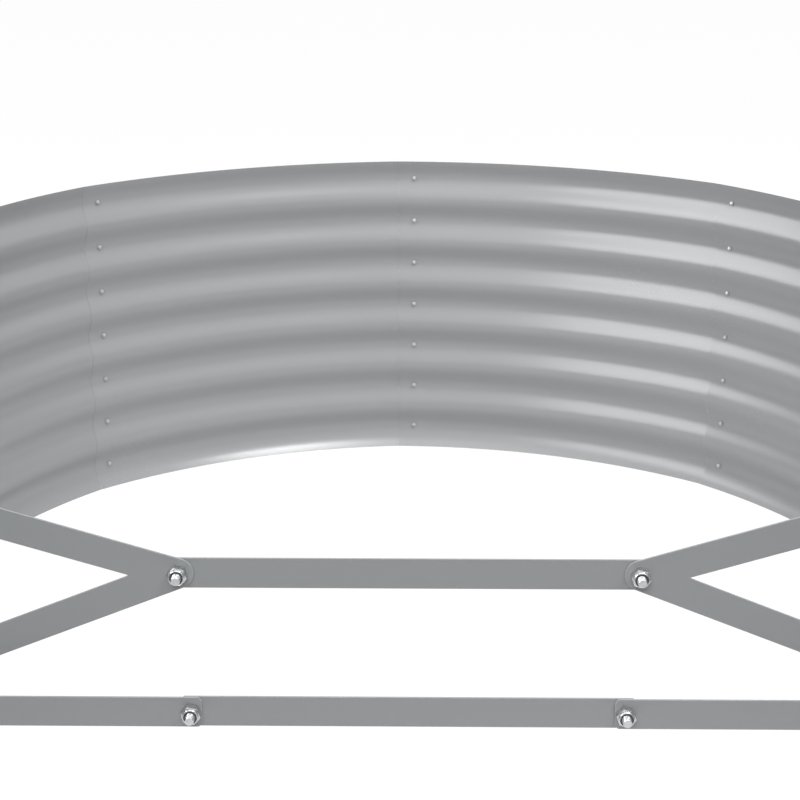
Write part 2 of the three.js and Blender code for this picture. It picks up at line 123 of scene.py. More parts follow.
@dataclass
class Socket:
    """One output of a node tree, on which Python arithmetic adds Math nodes."""

    graph: "Graph"
    link: bpy.types.NodeSocket

    __add__ = arithmetic("ADD")
    __radd__ = arithmetic("ADD", swapped=True)
    __sub__ = arithmetic("SUBTRACT")
    __rsub__ = arithmetic("SUBTRACT", swapped=True)
    __mul__ = arithmetic("MULTIPLY")
    __rmul__ = arithmetic("MULTIPLY", swapped=True)
    __truediv__ = arithmetic("DIVIDE")

    def __neg__(self) -> "Socket":
        """The socket's value with its sign turned."""
        return self.graph.math("MULTIPLY", self, -1.0)

    def cosine(self) -> "Socket":
        """The cosine of the socket's value."""
        return self.graph.math("COSINE", self)

    def at_most(self, other: "Value") -> "Socket":
        """The lesser of this value and another."""
        return self.graph.math("MINIMUM", self, other)

    def ramp(self, low: float, high: float, to_low: float = 0.0, to_high: float = 1.0) -> "Socket":
        """The value eased from one range to another, and held at the ends.

        Args:
            low: The value that gives to_low.
            high: The value that gives to_high.
            to_low: The result at and below low.
            to_high: The result at and above high.

        Returns:
            The eased value.
        """
        settings = {"interpolation_type": "SMOOTHSTEP"}
        return self.graph.add(
            "ShaderNodeMapRange", settings, {0: self, 1: low, 2: high, 3: to_low, 4: to_high}
        )


Value = Socket | float


@dataclass
class Graph:
    """A shader or geometry tree that is filled by calls."""

    tree: bpy.types.NodeTree

    @classmethod
    def fresh(cls, block: bpy.types.Material | bpy.types.World) -> "Graph":
        """Empties the node tree of a material or a world.

        Args:
            block: The material or world.

        Returns:
            The graph to fill.
        """
        block.use_nodes = True
        block.node_tree.nodes.clear()
        return cls(block.node_tree)

    def add(
        self, kind: str, settings: dict | None = None, values: dict | None = None, output: int | str = 0
    ) -> Socket | None:
        """Adds one node.

        Args:
            kind: The node's type.
            settings: Its own properties, set before any socket.
            values: What goes into its sockets, by name or number: a number, a colour or a Socket.
            output: The output to hand back.

        Returns:
            The output, or None where the node has none.
        """
        node = self.tree.nodes.new(kind)
        for name, setting in (settings or {}).items():
            setattr(node, name, setting)
        for key, value in (values or {}).items():
            if isinstance(value, Socket):
                self.tree.links.new(value.link, node.inputs[key])
            else:
                node.inputs[key].default_value = value
        return Socket(self, node.outputs[output]) if node.outputs else None

    def math(self, operation: str, *values: Value) -> Socket:
        """A Math node on one or more values."""
        return self.add("ShaderNodeMath", {"operation": operation}, dict(enumerate(values)))

    def scaled(self, vector: Socket, factor: Value) -> Socket:
        """A vector times a number."""
        return self.add("ShaderNodeVectorMath", {"operation": "SCALE"}, {0: vector, "Scale": factor})

    def vector(self, x: Value, y: Value, z: Value) -> Socket:
        """A vector of three values."""
        return self.add("ShaderNodeCombineXYZ", None, {0: x, 1: y, 2: z})

    def axes(self, vector: Socket) -> tuple[Socket, Socket, Socket]:
        """A vector's three values."""
        x = self.add("ShaderNodeSeparateXYZ", None, {0: vector})
        return x, *(Socket(self, output) for output in x.link.node.outputs[1:])

    def mixed(self, factor: Value, first: Socket | Colour, second: Socket | Colour) -> Socket:
        """A colour between two colours."""
        return self.add("ShaderNodeMix", {"data_type": "RGBA"}, {0: factor, 6: first, 7: second}, output=2)

    def attribute(self, name: str) -> Socket:
        """A number stored on the mesh, for a shader."""
        return self.add("ShaderNodeAttribute", {"attribute_name": name}, output="Fac")

    def stored(self, name: str, kind: str = "FLOAT") -> Socket:
        """A value stored on the mesh, for a geometry tree."""
        return self.add("GeometryNodeInputNamedAttribute", {"data_type": kind}, {"Name": name})

    def noise(self, place: Socket, scale: float, detail: float = 2.0, roughness: float = 0.5) -> Socket:
        """Noise between 0 and 1 at a place in metres, with scale features to the metre."""
        values = {"Vector": place, "Scale": scale, "Detail": detail, "Roughness": roughness}
        return self.add("ShaderNodeTexNoise", {"normalize": True}, values)


@dataclass
class ShapeTree:
    """A geometry tree with named inputs and a finish, which ends in Realize Instances and Set Material."""

    name: str
    numbers: Sequence[str]
    objects: Sequence[str] = ()

    def start(self) -> tuple[Graph, dict[str, Socket]]:
        """Makes the tree and its inputs.

        Returns:
            The graph to fill, and its input sockets by name.
        """
        tree = bpy.data.node_groups.new(self.name, "GeometryNodeTree")
        tree.interface.new_socket("Geometry", in_out="OUTPUT", socket_type="NodeSocketGeometry")
        tree.interface.new_socket("Geometry", in_out="INPUT", socket_type="NodeSocketGeometry")
        inputs = dict.fromkeys(self.numbers, "NodeSocketFloat")
        inputs |= dict.fromkeys(self.objects, "NodeSocketObject") | {"Finish": "NodeSocketMaterial"}
        for label, kind in inputs.items():
            tree.interface.new_socket(label, in_out="INPUT", socket_type=kind)
        graph = Graph(tree)
        entry = graph.add("NodeGroupInput").link.node
        return graph, {s.name: Socket(graph, s) for s in entry.outputs if s.name}

    @staticmethod
    def end(graph: Graph, shape: Socket, finish: Socket) -> bpy.types.NodeTree:
        """Ends the tree.

        Args:
            graph: The graph that start made.
            shape: The finished geometry.
            finish: The material input.

        Returns:
            The tree.
        """
        real = graph.add("GeometryNodeRealizeInstances", None, {"Geometry": shape})
        painted = graph.add("GeometryNodeSetMaterial", None, {"Geometry": real, "Material": finish})
        graph.add("NodeGroupOutput", None, {0: painted})
        return graph.tree


def shaped(name: str, blank: bpy.types.Mesh, tree: bpy.types.NodeTree, values: dict) -> bpy.types.Object:
    """Runs a geometry tree over a blank and keeps what it makes as a plain mesh.

    Args:
        name: The finished piece's name.
        blank: The mesh that the tree starts from.
        tree: The geometry tree.
        values: The tree's inputs by name.

    Returns:
        The finished piece, with no modifier.
    """
    worked = linked(f"{name}_blank", blank)
    modifier = worked.modifiers.new("shape", "NODES")
    modifier.node_group = tree
    for item in tree.interface.items_tree:
        if item.in_out == "INPUT" and item.name in values:
            modifier[item.identifier] = values[item.name]
    graph = bpy.context.evaluated_depsgraph_get()
    mesh = bpy.data.meshes.new_from_object(worked.evaluated_get(graph))
    worked.modifiers.remove(modifier)
    bpy.data.objects.remove(worked)
    mesh.name = name
    return linked(name, mesh)


# -------------------------------------------------------------------------------- finishes


def toned(colour: Colour, factor: float) -> Colour:
    """A colour made darker or lighter by a factor."""
    return tuple(min(1.0, part * factor) for part in colour[:3]) + (1.0,)


@dataclass(frozen=True)
class Finish:
    """What every finish has: a name, a colour and a roughness."""

    name: str
    colour: Colour
    roughness: float

    def material(self) -> bpy.types.Material:
        """Makes the finish's material, the first time it is asked for.

        Returns:
            The material.
        """
        known = bpy.data.materials.get(self.name)
        if known:
            return known
        material = bpy.data.materials.new(self.name)
        graph = Graph.fresh(material)
        place = graph.add("ShaderNodeTexCoord", output="Object")
        shader = graph.add("ShaderNodeBsdfPrincipled", None, self.sockets(graph, place))
        graph.add("ShaderNodeOutputMaterial", None, {"Surface": shader})
        return material

    def sockets(self, graph: Graph, place: Socket) -> dict:
        """What goes into the shader's sockets; each finish says its own."""
        raise NotImplementedError

    @staticmethod
    def bump(graph: Graph, height: Socket, distance: float, strength: float = 1.0) -> Socket:
        """A normal bent by a height of up to distance metres."""
        values = {"Height": height, "Distance": distance, "Strength": strength}
        return graph.add("ShaderNodeBump", None, values)


@dataclass(frozen=True)
class PowderCoat(Finish):
    """Satin powder coat on rolled sheet or strap: fine peel, rolling lines, rubbed edges and a painted edge
    highlight.

    Scales are features to the metre. The rim attribute is 1 at a cut edge and falls to 0 beside it: rubbing
    reaches where the rub noise is in rub_range, and a lighter cut line, partly bare steel and partly a
    painted highlight on the eased edge, shows where the rim is in the cut range.
    """

    bare_colour: Colour = (0.46, 0.47, 0.48, 1.0)
    cut_share: float = 0.85
    cut_range: Range = (0.93, 0.99)
    rub_scale: float = 95.0
    rub_range: Range = (0.5, 0.78)
    cloud_scale: float = 2.6
    peel_scale: float = 520.0
    peel_height: float = 0.007 * MILLIMETRE
    line_scale: tuple[float, float, float] = (1.6, 1.6, 130.0)
    line_height: float = 0.007 * MILLIMETRE
    line_share: float = 0.4
    mottle: float = 0.03
    cloud_swing: float = 0.06
    peel_swing: float = 0.05
    worn_swing: float = 0.1
    specular: float = 0.5

    def sockets(self, graph: Graph, place: Socket) -> dict:
        """Colour, roughness and bump of the coat.

        Args:
            graph: The material's graph.
            place: Object coordinates.

        Returns:
            The shader's sockets.
        """
        cloud = graph.noise(place, self.cloud_scale, detail=3.0)
        lines = graph.noise(self.stretched(graph, place), scale=1.0, detail=3.0, roughness=0.6)
        peel = graph.noise(place, self.peel_scale)
        rub = graph.noise(place, self.rub_scale, detail=4.0, roughness=0.65).ramp(*self.rub_range)
        rim = graph.attribute("rim")
        # Painted highlight: the cut line along every cut edge is lightened partly as bare steel and partly to
        # stand for the light that the eased edge catches; the rubbed patches are real wear.
        wear_and_highlight = graph.math("MAXIMUM", rim * rub, rim.ramp(*self.cut_range) * self.cut_share)
        mixing = cloud * (1 - self.line_share) + lines * self.line_share
        coat = graph.mixed(mixing, toned(self.colour, 1 - self.mottle), toned(self.colour, 1 + self.mottle))
        height = peel * self.peel_height + lines * self.line_height
        matt = self.roughness + (cloud - 0.5) * self.cloud_swing + (peel - 0.5) * self.peel_swing
        return {
            "Base Color": graph.mixed(wear_and_highlight, coat, self.bare_colour),
            "Roughness": matt + wear_and_highlight * self.worn_swing,
            "Specular IOR Level": self.specular,
            "Normal": self.bump(graph, height / self.peel_height, self.peel_height),
        }

    def stretched(self, graph: Graph, place: Socket) -> Socket:
        """The place drawn out along the panels, for the lines that rolling leaves."""
        return graph.add("ShaderNodeMapping", None, {"Vector": place, "Scale": self.line_scale})


@dataclass(frozen=True)
class ZincPlate(Finish):
    """Bright zinc plate on steel fasteners: a faint spangle, tool marks and dulled patches."""

    dull_colour: Colour = (0.46, 0.47, 0.49, 1.0)
    dull_share: float = 0.6
    dull_range: Range = (0.5, 0.75)
    dull_swing: float = 0.2
    dull_metal: float = 0.25
    metal: float = 1.0
    patch_scale: float = 160.0
    grain_scale: float = 900.0
    grain_swing: float = 0.1
    grain_height: float = 0.03 * MILLIMETRE
    grain_strength: float = 0.6

    def sockets(self, graph: Graph, place: Socket) -> dict:
        """Colour, roughness, metal and bump of the plate.

        Args:
            graph: The material's graph.
            place: Object coordinates.

        Returns:
            The shader's sockets.
        """
        patches = graph.noise(place, self.patch_scale, detail=3.0, roughness=0.6)
        grain = graph.noise(place, self.grain_scale, detail=3.0)
        dull = patches.ramp(*self.dull_range) * self.dull_share
        return {
            "Base Color": graph.mixed(dull, self.colour, self.dull_colour),
            "Metallic": self.metal - dull * self.dull_metal,
            "Roughness": self.roughness + dull * self.dull_swing + (grain - 0.5) * self.grain_swing,
            "Normal": self.bump(graph, grain, self.grain_height, self.grain_strength),
        }


@dataclass(frozen=True)
class MouldedNylon(Finish):
    """The dark nylon ring in a locking nut, scuffed by the bolt's thread."""

    scuff_scale: float = 700.0
    scuff_range: Range = (0.45, 0.8)
    scuff_tone: float = 1.6
    scuff_swing: float = 0.15
    scuff_height: float = 0.05 * MILLIMETRE
    scuff_strength: float = 0.5

    def sockets(self, graph: Graph, place: Socket) -> dict:
        """Colour, roughness and bump of the ring.

        Args:
            graph: The material's graph.
            place: Object coordinates.

        Returns:
            The shader's sockets.
        """
        scuff = graph.noise(place, self.scuff_scale, detail=3.0)
        light = toned(self.colour, self.scuff_tone)
        return {
            "Base Color": graph.mixed(scuff.ramp(*self.scuff_range), self.colour, light),
            "Roughness": self.roughness + (scuff - 0.5) * self.scuff_swing,
            "Normal": self.bump(graph, scuff, self.scuff_height, self.scuff_strength),
        }


PANEL_COAT = PowderCoat("panel_coat", (0.262, 0.268, 0.274, 1.0), 0.26)
# The straps' painted edge highlight on their eased faces is dimmer than the panels'.
STRAP_COAT = PowderCoat(
    "strap_coat",
    (0.254, 0.263, 0.27, 1.0),
    0.5,
    bare_colour=(0.38, 0.39, 0.4, 1.0),
    cut_share=0.5,
    line_scale=(4.0, 4.0, 4.0),
    mottle=0.02,
    specular=0.35,
)
BRIGHT_ZINC = ZincPlate("bright_zinc", (0.60, 0.61, 0.62, 1.0), 0.26)
SEAM_ZINC = ZincPlate(
    "seam_zinc", (0.5, 0.51, 0.52, 1.0), 0.4, dull_colour=(0.36, 0.37, 0.38, 1.0), metal=0.55
)
INSERT_NYLON = MouldedNylon("insert_nylon", (0.05, 0.055, 0.065, 1.0), 0.45)


# ------------------------------------------------------------------------------ mesh helpers


def linked(name: str, data: bpy.types.ID) -> bpy.types.Object:
    """Puts a new object in the scene, at the origin.

    Args:
        name: The object's name.
        data: Its mesh, curve, light or camera.

    Returns:
        The object.
    """
    made = bpy.data.objects.new(name, data)
    bpy.context.scene.collection.objects.link(made)
    return made


def settled(
    piece: bpy.types.Object, slot: PaintSlot | None, nodes: Sequence[str] = (), finish: Finish | None = None
) -> bpy.types.Object:
    """Gives a finished piece its body and its finish, and hides the frame nodes that it stands for.

    Args:
        piece: The finished piece.
        slot: The record's slot, or None where it has none; not used.
        nodes: The frame nodes that the piece replaces.
        finish: The finish, where the mesh doesn't carry it yet.

    Returns:
        The piece.
    """
    if finish:
        piece.data.materials.clear()
        piece.data.materials.append(finish.material())
    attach(piece, BODY)
    if nodes:
        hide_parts(*nodes)
    shown = ", ".join(nodes) or "no node"
    log.info("%s: %d faces, stands for %s", piece.name, len(piece.data.polygons), shown)
    return piece


def mesh_of(name: str, points: Sequence[Sequence[float]], faces: Sequence[Sequence[int]]) -> bpy.types.Mesh:
    """Makes a mesh from plain numbers.

    Args:
        name: The mesh's name.
        points: Its points.
        faces: Its faces, as the numbers of their points.

    Returns:
        The mesh.
    """
    mesh = bpy.data.meshes.new(name)
    mesh.from_pydata(points, [], faces)
    return mesh


def lathe(outline: Sequence[Plan], sides: int, ring: Ring | None = None) -> bmesh.types.BMesh:
    """Turns an outline round the Y axis into a closed skin.

    Args:
        outline: Points (radius, place on Y), from one end to the other; a radius of 0 closes an end.
        sides: The steps round the axis.
        ring: Gives the radius and place for an outline point and an angle, where it isn't round.

    Returns:
        The skin, facing out. Where neither end has a radius of 0, the last point joins the first.
    """
    mesh = bmesh.new()
    rings = []
    for radius, place in outline:
        if radius == 0:
            rings.append([mesh.verts.new((0, place, 0))])
            continue
        row = []
        for k in range(sides):
            angle = TAU * k / sides
            r, y = ring(radius, place, angle) if ring else (radius, place)
            row.append(mesh.verts.new((r * math.sin(angle), y, r * math.cos(angle))))
        rings.append(row)
    if outline[0][0] and outline[-1][0]:
        rings.append(rings[0])
    for one, two in zip(rings, rings[1:]):
        for k in range(sides):
            after = (k + 1) % sides
            corners = [one[k % len(one)], one[after % len(one)], two[after % len(two)], two[k % len(two)]]
            mesh.faces.new(list(dict.fromkeys(corners)))
    bmesh.ops.recalc_face_normals(mesh, faces=mesh.faces)
    return mesh


def hexagon(flat: float, face: float, slope: float, cut: float, far_cut: float) -> Ring:
    """Shapes lathe rings into a hexagon whose corners are cut back toward an end.

    Rings narrower than ROUND_SHARE of the flats stay round. The far ring is the one drawn at FAR_RING times
    the flats.

    Args:
        flat: Half the width across the flats.
        face: The radius at which the cut starts on an end face.
        slope: How far the cut goes along the axis for its way out.
        cut: 1 or -1 to cut the near ring toward +Y or -Y, 0 to leave it.
        far_cut: The same for the far ring.

    Returns:
        What gives a ring's radius and place at an angle.
    """
    sixth = math.pi / 3

    def ring(radius: float, place: float, angle: float) -> tuple[float, float]:
        """The radius and place on the hexagon."""
        if radius < flat * ROUND_SHARE:
            return radius, place
        reach = flat / math.cos((angle + sixth / 2) % sixth - sixth / 2)
        way = far_cut if radius > flat * (1 + FAR_RING) / 2 else cut
        return reach, place + way * ((reach - face) * slope)

    return ring


def edged(mesh: bmesh.types.BMesh, angle: float = SOFT_ANGLE) -> None:
    """Shades a mesh smooth, apart from its sharp edges.

    Args:
        mesh: The mesh.
        angle: The turn at which an edge starts to be sharp.
    """
    for face in mesh.faces:
        face.smooth = True
    for edge in mesh.edges:
        edge.smooth = len(edge.link_faces) == 2 and edge.calc_face_angle(0.0) < angle


def kept(name: str, mesh: bmesh.types.BMesh) -> bpy.types.Mesh:
    """Turns a working mesh into a finished one.

    Args:
        name: The finished mesh's name.
        mesh: The working mesh, which is freed.

    Returns:
        The finished mesh.
    """
    made = bpy.data.meshes.new(name)
    mesh.to_mesh(made)
    mesh.free()
    return made


# -------------------------------------------------------------------------------- the wall


@dataclass(frozen=True)
class Station:
    """A line down a sheet: its place in plan, its way out, its inset and its distance to a sheet end."""

    point: Vector
    outward: Vector
    inset: float
    from_end: float


@dataclass
class Wall:
    """The ring of twelve corrugated panels."""

    height: float = 0.680
    row_count: int = 7
    row_pitch: float = 0.0988
    first_row: float = 0.047
    wave_depth: float = 0.015
    sheet: float = 0.0009
    lip_curl: float = 0.009
    lip_height: float = 0.022
    lap_gap: float = 0.0001
    straight_length: float = 0.745
    side_x: float = 0.966
    end_radius: float = 0.9652
    panel_radius: float = 1.102
    panels_per_end: int = 4
    lap_half: float = 0.036
    steps_per_wave: int = 16
    step_length: float = 0.028
    rim_steps: tuple[float, ...] = (0.0015, 0.004, 0.008)
    kink_half: float = 0.003
    corners: list[Vector] = field(init=False)

    def __post_init__(self) -> None:
        """Places the corners of the ring, one lap half past each seam."""
        self.corners = [Vector((self.side_x, self.lap_half))]
        for end in (1, -1):
            centre = Vector((0, end * self.straight_length))
            turn = self.lap_half / self.end_radius
            for k in range(self.panels_per_end + 1):
                angle = (k / self.panels_per_end + (0 if end > 0 else 1)) * math.pi + turn
                self.corners.append(centre + Vector((math.cos(angle), math.sin(angle))) * self.end_radius)
            if end > 0:
                self.corners.append(Vector((-self.side_x, -self.lap_half)))

    @property
    def panel_count(self) -> int:
        """The panels of the ring."""
        return len(self.corners)

    @property
    def stack(self) -> float:
        """The thickness of two lapped sheets with the gap between them."""
        return 2 * self.sheet + self.lap_gap

    @property
    def sizes(self) -> dict[str, float]:
        """The sizes that the rolling tree is given, by the names of its inputs."""
        return {
            "Wave Depth": self.wave_depth,
            "Row Pitch": self.row_pitch,
            "First Row": self.first_row,
            "Sheet Thickness": self.sheet,
            "Lip Curl": self.lip_curl,
            "Lip Height": self.lip_height,
        }

    def is_curved(self, panel: int) -> bool:
        """True for the panels of the two ends."""
        return 1 <= panel % (self.panel_count // 2) <= self.panels_per_end

    def node_name(self, panel: int) -> str:
        """Names the frame node of a panel.

        Args:
            panel: The panel's number.

        Returns:
            The node's name.
        """
        half = self.panel_count // 2
        end = "far" if panel < half else "near"
        if self.is_curved(panel):
            return f"{end}_end_panel_{panel % half}"
        side = Side.RIGHT if self.corners[panel].x > 0 else Side.LEFT
        return f"side_panel_{side.word}_{end}"

    def wave(self, height: float) -> float:
        """How far the rolled wave stands in from the valley line at a height."""
        return self.wave_depth / 2 * (1 - math.cos(TAU * (height - self.first_row) / self.row_pitch))

    def line(self, panel: int) -> tuple[float, Callable[[float], tuple[Vector, Vector]]]:
        """A panel's valley line in plan.

        Args:
            panel: The panel's number.

        Returns:
            The line's length, and what gives its point and its way out at a distance along it.
        """
        start = self.corners[panel % self.panel_count]
        end = self.corners[(panel + 1) % self.panel_count]
        chord = end - start
        along = chord.normalized()
        out = Vector((along.y, -along.x))
        if not self.is_curved(panel % self.panel_count):
            return chord.length, lambda distance: (start + along * distance, out.copy())
        half = math.asin(chord.length / 2 / self.panel_radius)
        centre = (start + end) / 2 - out * self.panel_radius * math.cos(half)
        middle = math.atan2(out.y, out.x)

        def at(distance: float) -> tuple[Vector, Vector]:
            """The point and way out on the arc."""
            angle = middle + distance / self.panel_radius - half
            way = Vector((math.cos(angle), math.sin(angle)))
            return centre + way * self.panel_radius, way

        return 2 * half * self.panel_radius, at

    def seam(self, panel: int) -> tuple[Vector, Vector]:
        """The point and way out at the seam where a panel ends, half a lap before its edge."""
        length, at = self.line(panel)
        return at(length - self.lap_half)

    def stations(self, panel: int) -> list[Station]:
        """The lines down one panel's sheet, from its outer lap to its inner lap.

        Args:
            panel: The panel's number.

        Returns:
            The stations in order.
        """
        lap = 2 * self.lap_half
        before_length, before = self.line(panel - 1)
        length, own = self.line(panel)
        total = lap + length
        places = {0.0, lap, total - lap, total}
        places.update(self.rim_steps)
        places.update(total - step for step in self.rim_steps)
        places.update((lap - self.kink_half, lap + self.kink_half))
        for low, high in ((0.0, lap), (lap, total - lap), (total - lap, total)):
            count = max(2, round((high - low) / self.step_length))
            places.update(low + (high - low) * k / count for k in range(1, count))
        made, last = [], -math.inf
        for place in sorted(places):
            if place - last < self.rim_steps[0] / 2:
                continue
            last = place
            drift = min(1.0, max(0.0, (place - lap) / (length - lap)))
            if place < lap:
                point, out = before(before_length - lap + place)
            else:
                point, out = own(place - lap)
            if place == lap:
                out = self.mitred(before(before_length)[1], out)
            inset = drift * (self.sheet + self.lap_gap)
            made.append(Station(point, out, inset, min(place, total - place)))
        return made

    @staticmethod
    def mitred(one: Vector, two: Vector) -> Vector:
        """The way out at a corner, long enough to keep both sheets' thickness."""
        middle = (one + two).normalized()
        return middle / middle.dot(one)

    def heights(self) -> list[float]:
        """Spaces the sheet's rows of points, closer at its two rims.

        Returns:
            The heights in order.
        """
        step = self.row_pitch / self.steps_per_wave
        margin = self.rim_steps[-1] + step / 2
        count = round((self.height - 2 * margin) / step)
        inner = [margin + (self.height - 2 * margin) * k / count for k in range(count + 1)]
        low = [0.0, *self.rim_steps]
        return [*low, *inner, *(self.height - h for h in reversed(low))]

    def blank(self, panel: int) -> bpy.types.Mesh:
        """The flat sheet of a panel, stood along its line and not yet rolled.

        Args:
            panel: The panel's number.

        Returns:
            A closed thin skin whose points carry what the rolling needs: outward, inset, layer, rim.
        """
        stations, heights = self.stations(panel), self.heights()
        columns, rows = len(stations), len(heights)
        points = [(s.point.x, s.point.y, h) for _ in (0, 1) for s in stations for h in heights]
        layer_size = columns * rows

        def spot(layer: int, column: int, row: int) -> int:
            """The number of a point."""
            return layer * layer_size + column * rows + row

        faces = []
        for c in range(columns - 1):
            for r in range(rows - 1):
                outer = [spot(0, c, r), spot(0, c + 1, r), spot(0, c + 1, r + 1), spot(0, c, r + 1)]
                faces.append(outer)
                faces.append([k + layer_size for k in reversed(outer)])
        loop = [(c, 0) for c in range(columns)] + [(columns - 1, r) for r in range(1, rows)]
        loop += [(c, rows - 1) for c in range(columns - 2, -1, -1)] + [(0, r) for r in range(rows - 2, 0, -1)]
        border = []
        for (c0, r0), (c1, r1) in zip(loop, loop[1:] + loop[:1]):
            faces.append([spot(0, c1, r1), spot(0, c0, r0), spot(1, c0, r0), spot(1, c1, r1)])
            border += [(spot(0, c0, r0), spot(0, c1, r1)), (spot(1, c0, r0), spot(1, c1, r1))]
        mesh = mesh_of(f"{self.node_name(panel)}_flat", points, faces)
        both = [s for _ in (0, 1) for s in stations for _ in heights]
        outward = mesh.attributes.new("outward", "FLOAT_VECTOR", "POINT")
        outward.data.foreach_set("vector", [v for s in both for v in (s.outward.x, s.outward.y, 0.0)])
        margins = [min(s.from_end, h, self.height - h) for _ in (0, 1) for s in stations for h in heights]
        # rim marks the sheet's cut edge, where the coat paints rubbing and a painted highlight.
        for name, numbers in (
            ("inset", [s.inset for s in both]),
            ("layer", [float(k >= layer_size) for k in range(2 * layer_size)]),
            ("rim", [max(0.0, 1.0 - margin / self.rim_steps[0]) for margin in margins]),
        ):
            mesh.attributes.new(name, "FLOAT", "POINT").data.foreach_set("value", numbers)
        mesh.shade_smooth()
        edges = {tuple(sorted(e.vertices)): e.index for e in mesh.edges}
        sharp = mesh.attributes.new("sharp_edge", "BOOLEAN", "EDGE")
        for pair in border:
            sharp.data[edges[tuple(sorted(pair))]].value = True
        return mesh

    def rolling_tree(self) -> bpy.types.NodeTree:
        """Makes the tree that rolls the waves into a flat sheet and gives it its thickness.

        Returns:
            The tree.
        """
        shape = ShapeTree("roll_waves", list(self.sizes))
        graph, given = shape.start()
        height = graph.axes(graph.add("GeometryNodeInputPosition"))[2]
        phase = (height - given["First Row"]) * TAU / given["Row Pitch"]
        wave = given["Wave Depth"] * 0.5 * (1.0 - phase.cosine())
        lip = graph.math("MAXIMUM", 1.0 - height / given["Lip Height"], 0.0)
        depth = graph.stored("inset") + wave + graph.stored("layer") * given["Sheet Thickness"]
        depth = depth + given["Lip Curl"] * lip * lip
        offset = graph.scaled(graph.stored("outward", "FLOAT_VECTOR"), -depth)
        rolled = graph.add("GeometryNodeSetPosition", None, {"Geometry": given["Geometry"], "Offset": offset})
        return shape.end(graph, rolled, given["Finish"])

    def build(self) -> list[bpy.types.Object]:
        """Rolls every panel of the ring.

        Returns:
            The panels, anticlockwise from the far half of the +X side.
        """
        tree, values = self.rolling_tree(), self.sizes | {"Finish": PANEL_COAT.material()}
        panels = []
        for panel in range(self.panel_count):
            node = self.node_name(panel)
            piece = shaped(f"{node}_sheet", self.blank(panel), tree, values)
            panels.append(settled(piece, PaintSlot.PANEL, [node]))
        return panels


# -------------------------------------------------------------------------------- the ties


@dataclass(frozen=True)
class TabPath:
    """The plan of a strap from its hub to its seam screw: straight across, then folded to the wall."""

    side: Side
    hub_x: float
    setback: float
    offset: float
    lean: float
    seam_x: float
    thickness: float
    fold_radius: float

    @property
    def angle(self) -> float:
        """How far the fold turns the strap."""
        return math.pi / 2 - math.atan(self.lean)

    @property
    def tangent(self) -> float:
        """The length that the fold takes from each leg."""
        return self.fold_radius * math.tan(self.angle / 2)

    @property
    def screw_x(self) -> float:
        """Where the middle of the tab's thickness meets its screw."""
        return self.seam_x - self.offset - self.thickness / 2 * math.hypot(1, self.lean)

    @property
    def corner_x(self) -> float:
        """Where the two legs would meet without the fold's radius."""
        return self.screw_x - self.lean * self.setback

    @property
    def fold_start(self) -> float:
        """The distance from the hub to the start of the fold."""
        return self.corner_x - self.hub_x - self.tangent

    @property
    def fold_end(self) -> float:
        """The distance from the hub to the end of the fold."""
        return self.fold_start + self.fold_radius * self.angle

    @property
    def length(self) -> float:
        """The distance along the strap from the hub to the screw."""
        return self.fold_end + math.hypot(self.screw_x - self.corner_x, self.setback) - self.tangent

    def place(self, along: float, depth: float) -> Plan:
        """Places a point of the strap in plan.

        Args:
            along: Its distance along the strap from the hub.
            depth: Its depth through the strap.

        Returns:
            Its x and y.
        """
        turned = min(self.angle, max(0.0, (along - self.fold_start) / self.fold_radius))
        before, after = min(along, self.fold_start), max(along - self.fold_end, 0.0)
        arm = self.fold_radius - depth
        x = self.hub_x + before + arm * math.sin(turned) + after * math.cos(turned)
        y = -self.setback + self.fold_radius - arm * math.cos(turned) + after * math.sin(turned)
        return self.side.value * x, y


